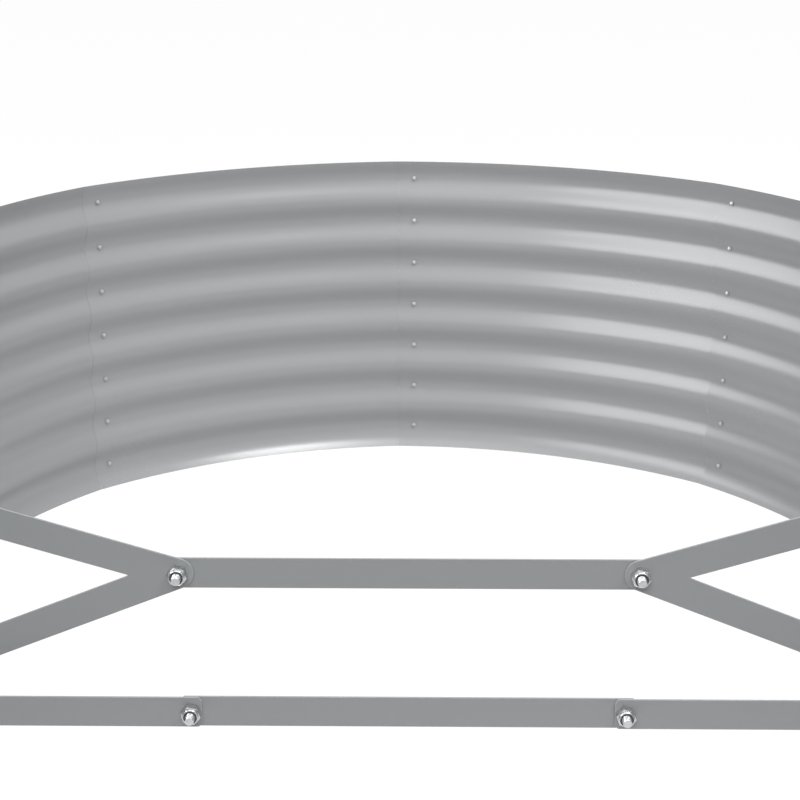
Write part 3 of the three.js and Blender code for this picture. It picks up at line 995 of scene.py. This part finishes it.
@dataclass
class Ties:
    """The two ties: their middle straps, forked plates and outer straps."""

    wall: Wall
    width: float = 0.0445
    thickness: float = 0.003
    end_length: float = 0.015
    corner_cut: float = 0.005
    fold_radius: float = 0.006
    seat_gap: float = 0.00025
    upper_spacing: float = 0.641
    upper_height: float = 0.427
    upper_setback: float = 0.086
    lower_spacing: float = 0.600
    lower_setback: float = 0.142
    lower_row: int = 3
    arm_rows: tuple[int, int] = (7, 2)
    hub_hole: float = 0.0069
    tab_hole: float = 0.0029
    bevel: float = 0.0005
    crisp_angle: float = math.radians(16)
    edge_share: float = 0.98
    level_normal: float = 0.99
    weld: float = 1e-6
    cut_weld: float = 1e-7
    arc_steps: int = 14
    hole_steps: int = 36
    fold_steps: int = 9
    seat_steps: int = 24
    lean_step: float = 0.01
    lean_count: int = 40
    seats: dict[int, tuple[float, float]] = field(default_factory=dict)

    def __post_init__(self) -> None:
        """Finds where each folded tab rests on the waves."""
        upper, lower = self.levels
        for row, level in ((self.arm_rows[0], upper), (self.arm_rows[1], upper), (self.lower_row, lower)):
            _, spacing, hub_height, setback = level
            run = self.wall.side_x - self.wall.wave_depth - spacing / 2 + setback
            slope = (self.row_height(row) - hub_height) / run
            self.seats[row] = self.tab_seat(self.row_height(row), slope, setback)

    @property
    def levels(self) -> tuple[tuple[str, float, float, float], ...]:
        """Both ties' names, with the spacing, height and setback of their hubs."""
        return (
            ("upper", self.upper_spacing, self.upper_height, self.upper_setback),
            ("lower", self.lower_spacing, self.row_height(self.lower_row), self.lower_setback),
        )

    def row_height(self, row: int) -> float:
        """The height of a row of screws; the lowest is row 1."""
        return self.wall.first_row + (row - 1) * self.wall.row_pitch

    def wave_reach(self, low: float, high: float) -> float:
        """Finds the wave's greatest inward offset between two heights.

        Args:
            low: The lower height.
            high: The upper height.

        Returns:
            The offset from the valley line.
        """
        steps = self.wall.steps_per_wave
        low, high = max(0.0, low), min(self.wall.height, high)
        return max(self.wall.wave(low + (high - low) * k / steps) for k in range(steps + 1))

    def tab_seat(self, height: float, slope: float, setback: float) -> tuple[float, float]:
        """Where a folded tab lies on the waves.

        Args:
            height: The height of its screw.
            slope: How far the strap rises for its length.
            setback: How far the tie stands from the middle seam.

        Returns:
            The offset of its outer face at the screw, and its lean toward the wall.
        """
        radius, tall = self.width / 2, self.width / 2 * math.hypot(1, slope)
        needs = []
        for k in range(self.seat_steps + 1):
            y = radius - (setback + radius) * k / self.seat_steps
            half = math.sqrt(radius**2 - y**2) if y > 0 else tall
            middle = height + slope * y
            needs.append((y, self.wave_reach(middle - half, middle + half)))
        choices = [self.lean_step * k for k in range(self.lean_count)]
        offset, lean = min((max(need + lean * y for y, need in needs), lean) for lean in choices)
        return self.wall.stack + offset + self.seat_gap, lean

    def path(self, side: Side, row: int, spacing: float, setback: float) -> TabPath:
        """Lays out the path of a strap.

        Args:
            side: The side it runs to.
            row: The row of seam screws that it ends at.
            spacing: The distance between the tie's hubs.
            setback: How far the tie stands from the middle seam.

        Returns:
            The path.
        """
        offset, lean = self.seats[row]
        return TabPath(
            side, spacing / 2, setback, offset, lean, self.wall.side_x, self.thickness, self.fold_radius
        )

    @staticmethod
    def circle(centre: Plan, radius: float, angles: Sequence[float]) -> list[Plan]:
        """The points at some angles round a centre."""
        return [(centre[0] + radius * math.cos(a), centre[1] + radius * math.sin(a)) for a in angles]

    def arc(self, centre: Plan, start: float, turn: float) -> list[Plan]:
        """Draws the round end of a strap.

        Args:
            centre: The arc's centre.
            start: The angle of its first point.
            turn: The angle that it covers.

        Returns:
            Its points.
        """
        angles = [start + turn * k / self.arc_steps for k in range(self.arc_steps + 1)]
        return self.circle(centre, self.width / 2, angles)

    def hole(self, centre: Plan, radius: float) -> list[Plan]:
        """A round hole, drawn the other way round from an outline."""
        return self.circle(centre, radius, [-TAU * k / self.hole_steps for k in range(self.hole_steps)])

    def square_end(self, hole_x: float, way: int) -> list[Plan]:
        """Draws a square end past a hole, with its corners cut.

        Args:
            hole_x: Where the hole is.
            way: 1 for a right end and -1 for a left one.

        Returns:
            Its points, anticlockwise.
        """
        half, cut = self.width / 2, self.corner_cut
        tip = hole_x + way * self.end_length
        return [
            (tip - way * cut, -way * half),
            (tip, -way * (half - cut)),
            (tip, way * (half - cut)),
            (tip - way * cut, way * half),
        ]

    def flat_bar(self, name: str, outline: list[Plan], holes: list[list[Plan]]) -> bmesh.types.BMesh:
        """Cuts a flat bar with eased edges from an outline and holes.

        Args:
            name: The piece's name.
            outline: Its edge, anticlockwise.
            holes: Its holes, clockwise.

        Returns:
            The bar, with x along it, y up it and z through it.
        """
        curve = bpy.data.curves.new(f"{name}_outline", "CURVE")
        curve.dimensions = "2D"
        curve.fill_mode = "BOTH"
        curve.extrude = self.thickness / 2 - self.bevel
        curve.bevel_depth = self.bevel
        curve.bevel_resolution = 1
        curve.offset = -self.bevel
        for loop in (outline, *holes):
            spline = curve.splines.new("POLY")
            spline.points.add(len(loop) - 1)
            for point, (x, y) in zip(spline.points, loop):
                point.co = (x, y, 0, 1)
            spline.use_cyclic_u = True
        drawn = linked(f"{name}_outline", curve)
        graph = bpy.context.evaluated_depsgraph_get()
        flat = bpy.data.meshes.new_from_object(drawn.evaluated_get(graph))
        bpy.data.objects.remove(drawn)
        bar = bmesh.new()
        bar.from_mesh(flat)
        bmesh.ops.remove_doubles(bar, verts=bar.verts, dist=self.weld)
        return bar

    def strap(
        self,
        name: str,
        outline: list[Plan],
        holes: list[list[Plan]],
        place: Placing,
        cuts: Sequence[float] = (),
    ) -> bpy.types.Object:
        """Cuts a strap flat and bends it along its path.

        Args:
            name: The frame node that it stands for.
            outline: Its edge, anticlockwise.
            holes: Its holes, clockwise.
            place: Gives a point of the bent strap for a point of the flat bar.
            cuts: The distances along it at which the bar can bend.

        Returns:
            The strap.
        """
        bar = self.flat_bar(name, outline, holes)
        for cut in cuts:
            bmesh.ops.bisect_plane(
                bar,
                geom=[*bar.verts, *bar.edges, *bar.faces],
                plane_co=(cut, 0, 0),
                plane_no=(1, 0, 0),
                dist=self.cut_weld,
            )
        # The eased faces are marked as rim, where the coat paints rubbing and a painted highlight.
        rim = bar.faces.layers.float.new("rim")
        edge_depth = self.thickness / 2 - self.bevel * self.edge_share
        for face in bar.faces:
            eased = abs(face.calc_center_median().z) > edge_depth and abs(face.normal.z) < self.level_normal
            face[rim] = float(eased)
        for vert in bar.verts:
            vert.co = place(*vert.co)
        bmesh.ops.recalc_face_normals(bar, faces=bar.faces)
        edged(bar, self.crisp_angle)
        return settled(linked(f"{name}_bar", kept(f"{name}_bar", bar)), PaintSlot.STRAP, [name], STRAP_COAT)

    def fold_cuts(self, path: TabPath) -> list[float]:
        """The places along a strap where its fold needs a line of points."""
        span = path.fold_end - path.fold_start
        return [path.fold_start + span * k / self.fold_steps for k in range(self.fold_steps + 1)]

    def middle_strap(self, level: str, spacing: float, height: float, setback: float) -> bpy.types.Object:
        """Makes the middle strap of a tie, behind the pieces bolted to its two ends.

        Args:
            level: The tie's name, upper or lower.
            spacing: The distance between its hubs.
            height: The hubs' height.
            setback: How far the tie stands from the middle seam.

        Returns:
            The strap.
        """
        half = spacing / 2
        outline = [*self.square_end(half, 1), *self.square_end(-half, -1)]
        holes = [self.hole((x, 0.0), self.hub_hole) for x in (half, -half)]
        depth = -setback + self.thickness + self.seat_gap

        def place(x: float, y: float, z: float) -> Vector:
            """A point of the straight strap."""
            return Vector((x, depth + z, height + y))

        return self.strap(f"{level}_middle_strap", outline, holes, place)

    def outer_strap(self, side: Side) -> bpy.types.Object:
        """Makes an outer strap of the lower tie, square at its hub and round at its seam screw.

        Args:
            side: The strap's side.

        Returns:
            The strap.
        """
        path = self.path(side, self.lower_row, self.lower_spacing, self.lower_setback)
        height = self.row_height(self.lower_row)
        end = self.arc((path.length, 0.0), -math.pi / 2, math.pi)
        outline = [*end, *self.square_end(0.0, -1)]
        holes = [self.hole((0.0, 0.0), self.hub_hole), self.hole((path.length, 0.0), self.tab_hole)]

        def place(x: float, y: float, z: float) -> Vector:
            """A point of the folded strap."""
            return Vector((*path.place(x, z), height + y))

        return self.strap(f"lower_outer_strap_{side.word}", outline, holes, place, self.fold_cuts(path))

    def forked_plate(self, side: Side) -> bpy.types.Object:
        """Makes a forked plate: two arms cut from one piece, round at the hub and at both screws.

        Args:
            side: The plate's side.

        Returns:
            The plate.
        """
        paths = [self.path(side, row, self.upper_spacing, self.upper_setback) for row in self.arm_rows]
        rises = [self.row_height(row) - self.upper_height for row in self.arm_rows]
        slopes = [rise / path.length for rise, path in zip(rises, paths)]
        tilts = [math.atan(slope) for slope in slopes]
        radius, quarter = self.width / 2, math.pi / 2
        leans = [math.hypot(1, slope) for slope in slopes]
        notch = radius * (leans[0] + leans[1]) / (slopes[0] - slopes[1])
        outline = [(notch, slopes[0] * notch - radius * leans[0])]
        ends = [(path.length, rise) for path, rise in zip(paths, rises)]
        outline += self.arc(ends[0], tilts[0] - quarter, math.pi)
        outline += self.arc((0.0, 0.0), tilts[0] + quarter, math.pi - tilts[0] + tilts[1])
        outline += self.arc(ends[1], tilts[1] - quarter, math.pi)
        holes = [self.hole((0.0, 0.0), self.hub_hole), *(self.hole(end, self.tab_hole) for end in ends)]
        cuts = sorted({round(cut, 6) for path in paths for cut in self.fold_cuts(path)})

        def place(x: float, y: float, z: float) -> Vector:
            """A point of the folded plate, on the arm that it belongs to."""
            path = paths[0] if y > 0 else paths[1]
            return Vector((*path.place(x, z), self.upper_height + y))

        return self.strap(f"forked_plate_{side.word}", outline, holes, place, cuts)

    def build(self) -> list[bpy.types.Object]:
        """Cuts and folds every strap of both ties.

        Returns:
            The straps.
        """
        straps = [self.middle_strap(*level) for level in self.levels]
        for side in Side:
            straps += [self.forked_plate(side), self.outer_strap(side)]
        return straps


# ---------------------------------------------------------------------------- hub fasteners


@dataclass
class HubFasteners:
    """The four hub bolts with their locking nuts.

    Places on Y are from the middle of the front strap; turns_before keeps the thread's phase above zero.
    """

    ties: Ties
    bolt_radius: float = 0.0065
    bolt_head: float = 0.010
    bolt_tip: float = 0.011
    bolt_chamfer: float = 0.0009
    thread_pitch: float = 0.0018
    thread_depth: float = 0.0008
    across_flats: float = 0.0246
    nut_height: float = 0.0125
    collar_radius: float = 0.0112
    collar_height: float = 0.0045
    lip_radius: float = 0.0094
    face_share: float = 0.95
    corner_slope: float = math.tan(math.radians(28))
    collar_roll: float = 0.0014
    roll_steps: int = 4
    lip_edge: float = 0.0002
    bore_edge: float = 0.0008
    bore_gap: float = 0.00012
    insert_sink: float = 0.0012
    insert_gap: float = 0.00002
    insert_edge: float = 0.0003
    turn: float = math.radians(12)
    sides: int = 48
    ring_step: float = 0.00025
    tip_steps: int = 6
    tip_share: float = 0.4
    flank_range: Range = (0.1, 0.9)
    turns_before: float = 64.0

    @property
    def back(self) -> float:
        """Where the bolt's head seats, behind both straps."""
        return 1.5 * self.ties.thickness + 2 * self.ties.seat_gap

    @property
    def front(self) -> float:
        """Where the nut seats, before both straps."""
        return -self.ties.thickness / 2 - self.ties.seat_gap

    @property
    def end(self) -> float:
        """Where the nut's collar ends."""
        return self.front - self.nut_height - self.collar_height

    def nut(self) -> bmesh.types.BMesh:
        """Turns a locking nut: a hexagon with cut corners and a rolled collar round its insert.

        Returns:
            The nut's skin.
        """
        flat, face = self.across_flats / 2, self.across_flats / 2 * self.face_share
        seat, shoulder, end = self.front, self.front - self.nut_height, self.end
        bore, groove = self.bolt_radius + self.bore_gap, self.end + 2 * self.insert_sink
        outline = [(bore + self.bore_edge, seat), (face, seat), (flat, seat), (flat * FAR_RING, shoulder)]
        outline += [(face, shoulder), (self.collar_radius, shoulder)]
        for k in range(self.roll_steps + 1):
            angle = math.pi / 2 * k / self.roll_steps
            radius = self.collar_radius - self.collar_roll * (1 - math.cos(angle))
            outline.append((radius, end + self.collar_roll * (1 - math.sin(angle))))
        outline += [(self.lip_radius + self.lip_edge, end), (self.lip_radius, end + self.lip_edge)]
        outline += [(self.lip_radius, groove), (bore, groove), (bore, seat - self.bore_edge)]
        return lathe(outline, self.sides, hexagon(flat, face, self.corner_slope, -1, 1))

    def insert(self) -> bmesh.types.BMesh:
        """Turns the nylon ring inside a nut's collar.

        Returns:
            The ring's skin.
        """
        edge, near = self.insert_edge, self.end + self.insert_sink
        far = self.end + 2 * self.insert_sink - self.insert_gap
        outer, inner = self.lip_radius - self.insert_gap, self.bolt_radius + self.insert_gap
        outline = [(outer, far), (outer, near + self.lip_edge), (outer - edge, near), (inner + edge, near)]
        outline += [(inner, near + edge), (inner, far)]
        return lathe(outline, self.sides)

    def shank_blank(self) -> bmesh.types.BMesh:
        """Turns the plain shank of a bolt, in fine rings for the thread to be cut in.

        Returns:
            The shank's skin.
        """
        tip, root = self.end - self.bolt_tip, self.back + self.bolt_head / 2
        plain, chamfer = self.bolt_radius, self.bolt_chamfer
        count = round((root - tip - chamfer) / self.ring_step)
        outline = [(0.0, root), (plain, root)]
        outline += [(plain, root + (tip + chamfer - root) * k / count) for k in range(1, count + 1)]
        for k in range(1, self.tip_steps + 1):
            outline.append((plain - chamfer * k / self.tip_steps, tip + chamfer * (1 - k / self.tip_steps)))
        outline += [(plain * self.tip_share, tip), (0.0, tip)]
        return lathe(outline, self.sides)

    def head(self) -> bmesh.types.BMesh:
        """Turns the bolt's hexagon head, behind the straps.

        Returns:
            The head's skin.
        """
        flat, face = self.across_flats / 2, self.across_flats / 2 * self.face_share
        seat, top = self.back, self.back + self.bolt_head
        outline = [(0.0, seat), (face, seat), (flat, seat), (flat * FAR_RING, top), (face, top), (0.0, top)]
        return lathe(outline, self.sides, hexagon(flat, face, self.corner_slope, 1, -1))

    def thread_tree(self) -> bpy.types.NodeTree:
        """Makes the tree that cuts a helical thread round the Y axis.

        Returns:
            The tree.
        """
        shape = ShapeTree("cut_thread", ("Bolt Radius", "Thread Pitch", "Thread Depth"))
        graph, given = shape.start()
        x, y, z = graph.axes(graph.add("GeometryNodeInputPosition"))
        angle = graph.math("ARCTAN2", x, z)
        phase = graph.math("FRACT", y / given["Thread Pitch"] + angle / TAU + self.turns_before)
        groove = graph.math("ABSOLUTE", phase * 2.0 - 1.0).ramp(*self.flank_range)
        radius = graph.math("SQRT", x * x + z * z)
        cut = radius.at_most(given["Bolt Radius"] - given["Thread Depth"] * groove)
        factor = cut / graph.math("MAXIMUM", radius, NEAR_ZERO)
        moved = {"Geometry": given["Geometry"], "Position": graph.vector(x * factor, y, z * factor)}
        return shape.end(graph, graph.add("GeometryNodeSetPosition", None, moved), given["Finish"])

    def turned(self, mesh: bmesh.types.BMesh, hub: Vector) -> bmesh.types.BMesh:
        """Turns a mesh about its bolt and moves it to its hub.

        Args:
            mesh: The mesh, about the origin.
            hub: The hub.

        Returns:
            The same mesh.
        """
        cosine, sine = math.cos(self.turn), math.sin(self.turn)
        for vert in mesh.verts:
            x, y, z = vert.co
            vert.co = hub + Vector((x * cosine + z * sine, y, z * cosine - x * sine))
        return mesh

    def bolt(self, name: str, tree: bpy.types.NodeTree, hub: Vector) -> bpy.types.Object:
        """Makes a hub bolt, its head and its threaded shank in one mesh.

        Args:
            name: The piece's name.
            tree: The tree that cuts the thread.
            hub: The hub.

        Returns:
            The bolt.
        """
        sizes = {
            "Bolt Radius": self.bolt_radius,
            "Thread Pitch": self.thread_pitch,
            "Thread Depth": self.thread_depth,
            "Finish": BRIGHT_ZINC.material(),
        }
        bolt = shaped(name, kept(name, self.shank_blank()), tree, sizes)
        joined = bmesh.new()
        joined.from_mesh(bolt.data)
        joined.from_mesh(kept("head", self.head()))
        edged(joined)
        self.turned(joined, hub).to_mesh(bolt.data)
        joined.free()
        return bolt

    def ring(self, name: str, mesh: bmesh.types.BMesh, hub: Vector) -> bpy.types.Object:
        """Puts a nut or an insert at its hub.

        Args:
            name: What it is.
            mesh: Its skin, about the origin.
            hub: The hub.

        Returns:
            The piece.
        """
        edged(mesh)
        return linked(f"{name}_ring", kept(name, self.turned(mesh, hub)))

    def build(self) -> list[bpy.types.Object]:
        """Makes every hub's bolt, nut and insert.

        Returns:
            The pieces, hub by hub.
        """
        tree, made = self.thread_tree(), []
        for level, spacing, height, setback in self.ties.levels:
            for side in Side:
                hub = Vector((side.value * spacing / 2, -setback, height))
                bolt, nut, insert = (f"{level}_hub_{kind}_{side.word}" for kind in ("bolt", "nut", "insert"))
                made += [
                    settled(self.bolt(f"{bolt}_threaded", tree, hub), PaintSlot.ZINC, [bolt], BRIGHT_ZINC),
                    settled(self.ring(nut, self.nut(), hub), PaintSlot.ZINC, [nut], BRIGHT_ZINC),
                    settled(self.ring(insert, self.insert(), hub), None, [], INSERT_NYLON),
                ]
        return made


# --------------------------------------------------------------------------- seam fasteners


@dataclass
class SeamFasteners:
    """The seven screws and nuts of every seam."""

    wall: Wall
    ties: Ties
    screw_radius: float = 0.0025
    head_radius: float = 0.005
    head_height: float = 0.0024
    tip_length: float = 0.002
    tip_cut: float = 0.0006
    tip_share: float = 0.7
    dome_steps: int = 3
    dome_base: float = 0.25
    drawn_stem: float = 1.0
    nut_flats: float = 0.008
    nut_height: float = 0.004
    nut_face: float = 0.93
    nut_slope: float = 0.5
    bore_gap: float = 0.0001
    sides: int = 12
    crisp_angle: float = math.radians(40)

    def nut_seat(self, row: int, has_tabs: bool) -> float:
        """Finds how far inside the valley line a nut stands.

        Args:
            row: The nut's row.
            has_tabs: True at a middle seam, where ties' tabs lie over some rows.

        Returns:
            The distance.
        """
        ties, radius = self.ties, self.nut_flats / math.sqrt(3)
        if has_tabs and row in ties.seats:
            offset, lean = ties.seats[row]
            return offset + ties.thickness * math.hypot(1, lean) + radius * lean + ties.seat_gap
        height = ties.row_height(row)
        return self.wall.stack + ties.wave_reach(height - radius, height + radius) + ties.seat_gap

    def screw(self) -> bpy.types.Mesh:
        """Turns a screw along X, its domed head outside and its stem drawn a metre in.

        Returns:
            The screw; draw_stems brings its stem back.
        """
        outline = [(0.0, self.head_height)]
        for k in range(1, self.dome_steps + 1):
            angle = math.pi / 2 * k / self.dome_steps
            rise = self.dome_base + (1 - self.dome_base) * math.cos(angle)
            outline.append((self.head_radius * math.sin(angle), self.head_height * rise))
        radius, stem, tip = self.screw_radius, -self.drawn_stem, -self.drawn_stem - self.tip_cut
        outline += [(self.head_radius, 0.0), (radius, 0.0), (radius, stem)]
        outline += [(radius * self.tip_share, tip), (0.0, tip)]
        return self.along_x(lathe(outline, self.sides))

    def nut(self) -> bpy.types.Mesh:
        """Turns a small hexagon nut along X, its corners eased toward the bed's inside.

        Returns:
            The nut.
        """
        flat, end = self.nut_flats / 2, -self.nut_height
        face, bore = flat * self.nut_face, self.screw_radius + self.bore_gap
        outline = [(bore, 0.0), (flat, 0.0), (flat * FAR_RING, end), (face, end), (bore, end)]
        return self.along_x(lathe(outline, self.sides, hexagon(flat, face, self.nut_slope, 0, 1)))

    def along_x(self, mesh: bmesh.types.BMesh) -> bpy.types.Mesh:
        """Turns a mesh from the Y axis to the X axis and shades it by its edges.

        Args:
            mesh: The working mesh, which is freed.

        Returns:
            The finished mesh.
        """
        for vert in mesh.verts:
            x, y, z = vert.co
            vert.co = (y, -x, z)
        bmesh.ops.recalc_face_normals(mesh, faces=mesh.faces)
        edged(mesh, self.crisp_angle)
        return kept("fastener", mesh)

    def rows_tree(self) -> bpy.types.NodeTree:
        """Makes the tree that sets a fastener at every row of a seam, turned to face out of the wall.

        Returns:
            The tree.
        """
        shape = ShapeTree("set_rows", ("Row Pitch", "First Row", "Facing"), ("Fastener",))
        graph, given = shape.start()
        row = graph.add("GeometryNodeInputIndex")
        rise = graph.vector(0.0, 0.0, given["First Row"] + row * given["Row Pitch"])
        raised = graph.add("GeometryNodeSetPosition", None, {"Geometry": given["Geometry"], "Offset": rise})
        model = graph.add("GeometryNodeObjectInfo", None, {"Object": given["Fastener"]}, output="Geometry")
        turn = graph.vector(0.0, 0.0, given["Facing"])
        copies = {"Points": raised, "Instance": model, "Rotation": turn}
        rows = graph.add("GeometryNodeInstanceOnPoints", None, copies)
        return shape.end(graph, rows, given["Finish"])

    def set_seam(
        self,
        name: str,
        seam: tuple[Vector, Vector],
        fastener: bpy.types.Object,
        insets: Sequence[float],
        tree: bpy.types.NodeTree,
    ) -> bpy.types.Object:
        """Sets one fastener a row on a seam.

        Args:
            name: The piece's name.
            seam: The seam's point and way out.
            fastener: The fastener about the origin, with +X out of the wall.
            insets: How far inside the valley line it stands, row by row.
            tree: The tree that sets rows.

        Returns:
            The fasteners of the seam as one piece.
        """
        point, out = seam
        spots = [point - out * inset for inset in insets]
        blank = mesh_of(f"{name}_rows", [(spot.x, spot.y, 0.0) for spot in spots], [])
        sizes = {
            "Row Pitch": self.wall.row_pitch,
            "First Row": self.wall.first_row,
            "Facing": math.atan2(out.y, out.x),
            "Fastener": fastener,
            "Finish": SEAM_ZINC.material(),
        }
        return shaped(name, blank, tree, sizes)

    def seam_name(self, panel: int) -> tuple[str, str]:
        """Names the seam where a panel ends.

        Args:
            panel: The panel's number.

        Returns:
            The seam's name, and the side's name for a middle seam or nothing.
        """
        point, _ = self.wall.seam(panel)
        if abs(point.y) < self.wall.lap_half:
            side = Side.RIGHT if point.x > 0 else Side.LEFT
            return side.word, side.word
        end = "far" if point.y > 0 else "near"
        return f"{end}_end_{panel % (self.wall.panel_count // 2) + 1}", ""

    def build(self) -> list[bpy.types.Object]:
        """Sets the screws and nuts of every seam.

        Returns:
            Two pieces a seam: its screws, then its nuts.
        """
        tree, made = self.rows_tree(), []
        nut = linked("seam_nut_model", self.nut())
        rows = range(1, self.wall.row_count + 1)
        for panel in range(self.wall.panel_count):
            name, side = self.seam_name(panel)
            seats = [self.nut_seat(row, bool(side)) for row in rows]
            seam = self.wall.seam(panel)
            screws = self.set_seam(f"seam_screws_{name}", seam, self.screw_model(), [0.0] * len(seats), tree)
            self.draw_stems(screws, seam, seats)
            nuts = self.set_seam(f"seam_nuts_{name}", seam, nut, seats, tree)
            for kind, piece in (("screw", screws), ("nut", nuts)):
                nodes = [f"seam_{kind}_{side}_{row}" for row in rows] if side else []
                made.append(settled(piece, PaintSlot.ZINC, nodes))
        for model in [o for o in bpy.data.objects if o.name.endswith("_model")]:
            bpy.data.objects.remove(model)
        return made

    def screw_model(self) -> bpy.types.Object:
        """The screw that the tree copies, made once."""
        return bpy.data.objects.get("seam_screw_model") or linked("seam_screw_model", self.screw())

    def draw_stems(self, screws: bpy.types.Object, seam: tuple[Vector, Vector], seats: list[float]) -> None:
        """Draws each stem back from a metre in, so that it ends just past its own nut.

        Args:
            screws: A seam's screws.
            seam: The seam's point and way out.
            seats: How far inside the valley line the nuts stand, row by row.
        """
        point, out = seam
        for vert in screws.data.vertices:
            depth = (point - vert.co.xy).dot(out)
            if depth > self.drawn_stem / 2:
                row = round((vert.co.z - self.wall.first_row) / self.wall.row_pitch)
                back = self.drawn_stem - seats[row] - self.nut_height - self.tip_length + self.tip_cut
                vert.co.xy += out * back


# ------------------------------------------------------------------------------- the studio


class LampRole(Enum):
    """What a lamp gives: light and gloss, light alone, or gloss alone as a reflector card does."""

    FULL = "full"
    FILL = "fill"
    GLOSS = "gloss"


@dataclass(frozen=True)
class Softbox:
    """A soft lamp: where it stands, what it looks at, its width and height, and its power in watts."""

    name: str
    place: tuple[float, float, float]
    aim: tuple[float, float, float]
    size: tuple[float, float]
    power: float
    role: LampRole = LampRole.FULL


SOFTBOXES = (
    Softbox("overhead", (0.0, -0.5, 5.2), (0.0, 1.2, 0.0), (4.0, 4.0), 122.0),
    Softbox("key_right", (2.0, -0.7, 4.4), (-0.2, 1.7, 0.0), (1.6, 1.0), 135.0),
    Softbox("front", (-0.7, -6.0, 5.0), (0.0, 1.0, 0.3), (4.0, 3.0), 260.0, LampRole.FILL),
    Softbox("fill_left", (-4.5, 0.2, 2.6), (0.8, 1.3, 0.3), (2.0, 1.6), 75.0, LampRole.FILL),
    Softbox("gloss_card_left", (-5.0, 0.0, 2.2), (0.5, 1.5, 0.4), (8.0, 4.6), 600.0, LampRole.GLOSS),
)


@dataclass
class Studio:
    """A pale floor, soft lamps and the camera at the photograph's angle."""

    floor_size: float = 60.0
    floor_drop: float = 0.0002
    floor_colour: Colour = (0.78, 0.78, 0.78, 1.0)
    floor_glow: float = 0.92
    floor_white: float = 1.04
    ambient: float = 0.36
    camera_place: tuple[float, float, float] = (0.016, -2.460, 1.440)
    camera_pitch: float = 15.76
    camera_turn: float = 0.68
    camera_shift: float = -0.08
    lens: float = 83.2
    view_range: float = 200.0

    def background_ray(self, graph: Graph) -> Socket:
        """Tells rays that show the background from the rest.

        Args:
            graph: The material's or world's graph.

        Returns:
            1 for rays from the camera, off a glossy face or through glass, and 0 for others.
        """
        path = graph.add("ShaderNodeLightPath").link.node.outputs
        camera, glossy, through = (
            Socket(graph, path[name]) for name in ("Is Camera Ray", "Is Glossy Ray", "Is Transmission Ray")
        )
        return (camera + glossy + through).at_most(1.0)

    def floor(self) -> bpy.types.Object:
        """Lays the floor: white to the camera, but keeping a soft shadow.

        Returns:
            The floor.
        """
        material = bpy.data.materials.new("studio_floor")
        graph = Graph.fresh(material)
        matt = graph.add("ShaderNodeBsdfDiffuse", None, {"Color": self.floor_colour})
        glow = graph.add("ShaderNodeEmission", None, {"Strength": self.floor_white})
        seen = self.background_ray(graph) * self.floor_glow
        mixed = graph.add("ShaderNodeMixShader", None, {0: seen, 1: matt, 2: glow})
        graph.add("ShaderNodeOutputMaterial", None, {"Surface": mixed})
        half, low = self.floor_size / 2, -self.floor_drop
        corners = [(-half, -half, low), (half, -half, low), (half, half, low), (-half, half, low)]
        floor = linked("studio_floor", mesh_of("studio_floor", corners, [(0, 1, 2, 3)]))
        floor.data.materials.append(material)
        return floor

    def world(self) -> None:
        """An even pale surround, white to the camera."""
        world = bpy.data.worlds.new("studio_world")
        graph = Graph.fresh(world)
        level = self.background_ray(graph).ramp(0.0, 1.0, self.ambient, 1.0)
        sky = graph.add("ShaderNodeBackground", None, {"Color": (1, 1, 1, 1), "Strength": level})
        graph.add("ShaderNodeOutputWorld", None, {"Surface": sky})
        bpy.context.scene.world = world

    def lamp(self, softbox: Softbox) -> bpy.types.Object:
        """Sets up a soft rectangular lamp that looks at a point.

        Args:
            softbox: The lamp's place and power.

        Returns:
            The lamp.
        """
        light = bpy.data.lights.new(softbox.name, "AREA")
        light.shape = "RECTANGLE"
        light.size, light.size_y = softbox.size
        light.energy = softbox.power
        lamp = linked(softbox.name, light)
        lamp.location = softbox.place
        lamp.rotation_euler = (Vector(softbox.aim) - lamp.location).to_track_quat("-Z", "Y").to_euler()
        lamp.visible_diffuse = softbox.role != LampRole.GLOSS
        lamp.visible_glossy = softbox.role != LampRole.FILL
        return lamp

    def camera(self) -> None:
        """The camera, at the photograph's viewing angle."""
        lens = bpy.data.cameras.new("camera")
        lens.lens = self.lens
        lens.shift_y = self.camera_shift
        lens.clip_end = self.view_range
        camera = linked("camera", lens)
        camera.location = self.camera_place
        camera.rotation_euler = (math.radians(90 - self.camera_pitch), 0.0, math.radians(self.camera_turn))
        bpy.context.scene.camera = camera

    def build(self) -> None:
        """Sets up the floor, the surround, the lamps and the camera."""
        self.floor()
        self.world()
        for softbox in SOFTBOXES:
            self.lamp(softbox)
        self.camera()
        bpy.context.scene.view_settings.view_transform = "Standard"


def main() -> None:
    """Builds the bed and its studio."""
    logging.basicConfig(level=logging.INFO, format="%(name)s: %(message)s")
    wall = Wall()
    ties = Ties(wall)
    wall.build()
    ties.build()
    HubFasteners(ties).build()
    SeamFasteners(wall, ties).build()
    Studio().build()
    bpy.context.view_layer.update()


if __name__ == "__main__":
    main()
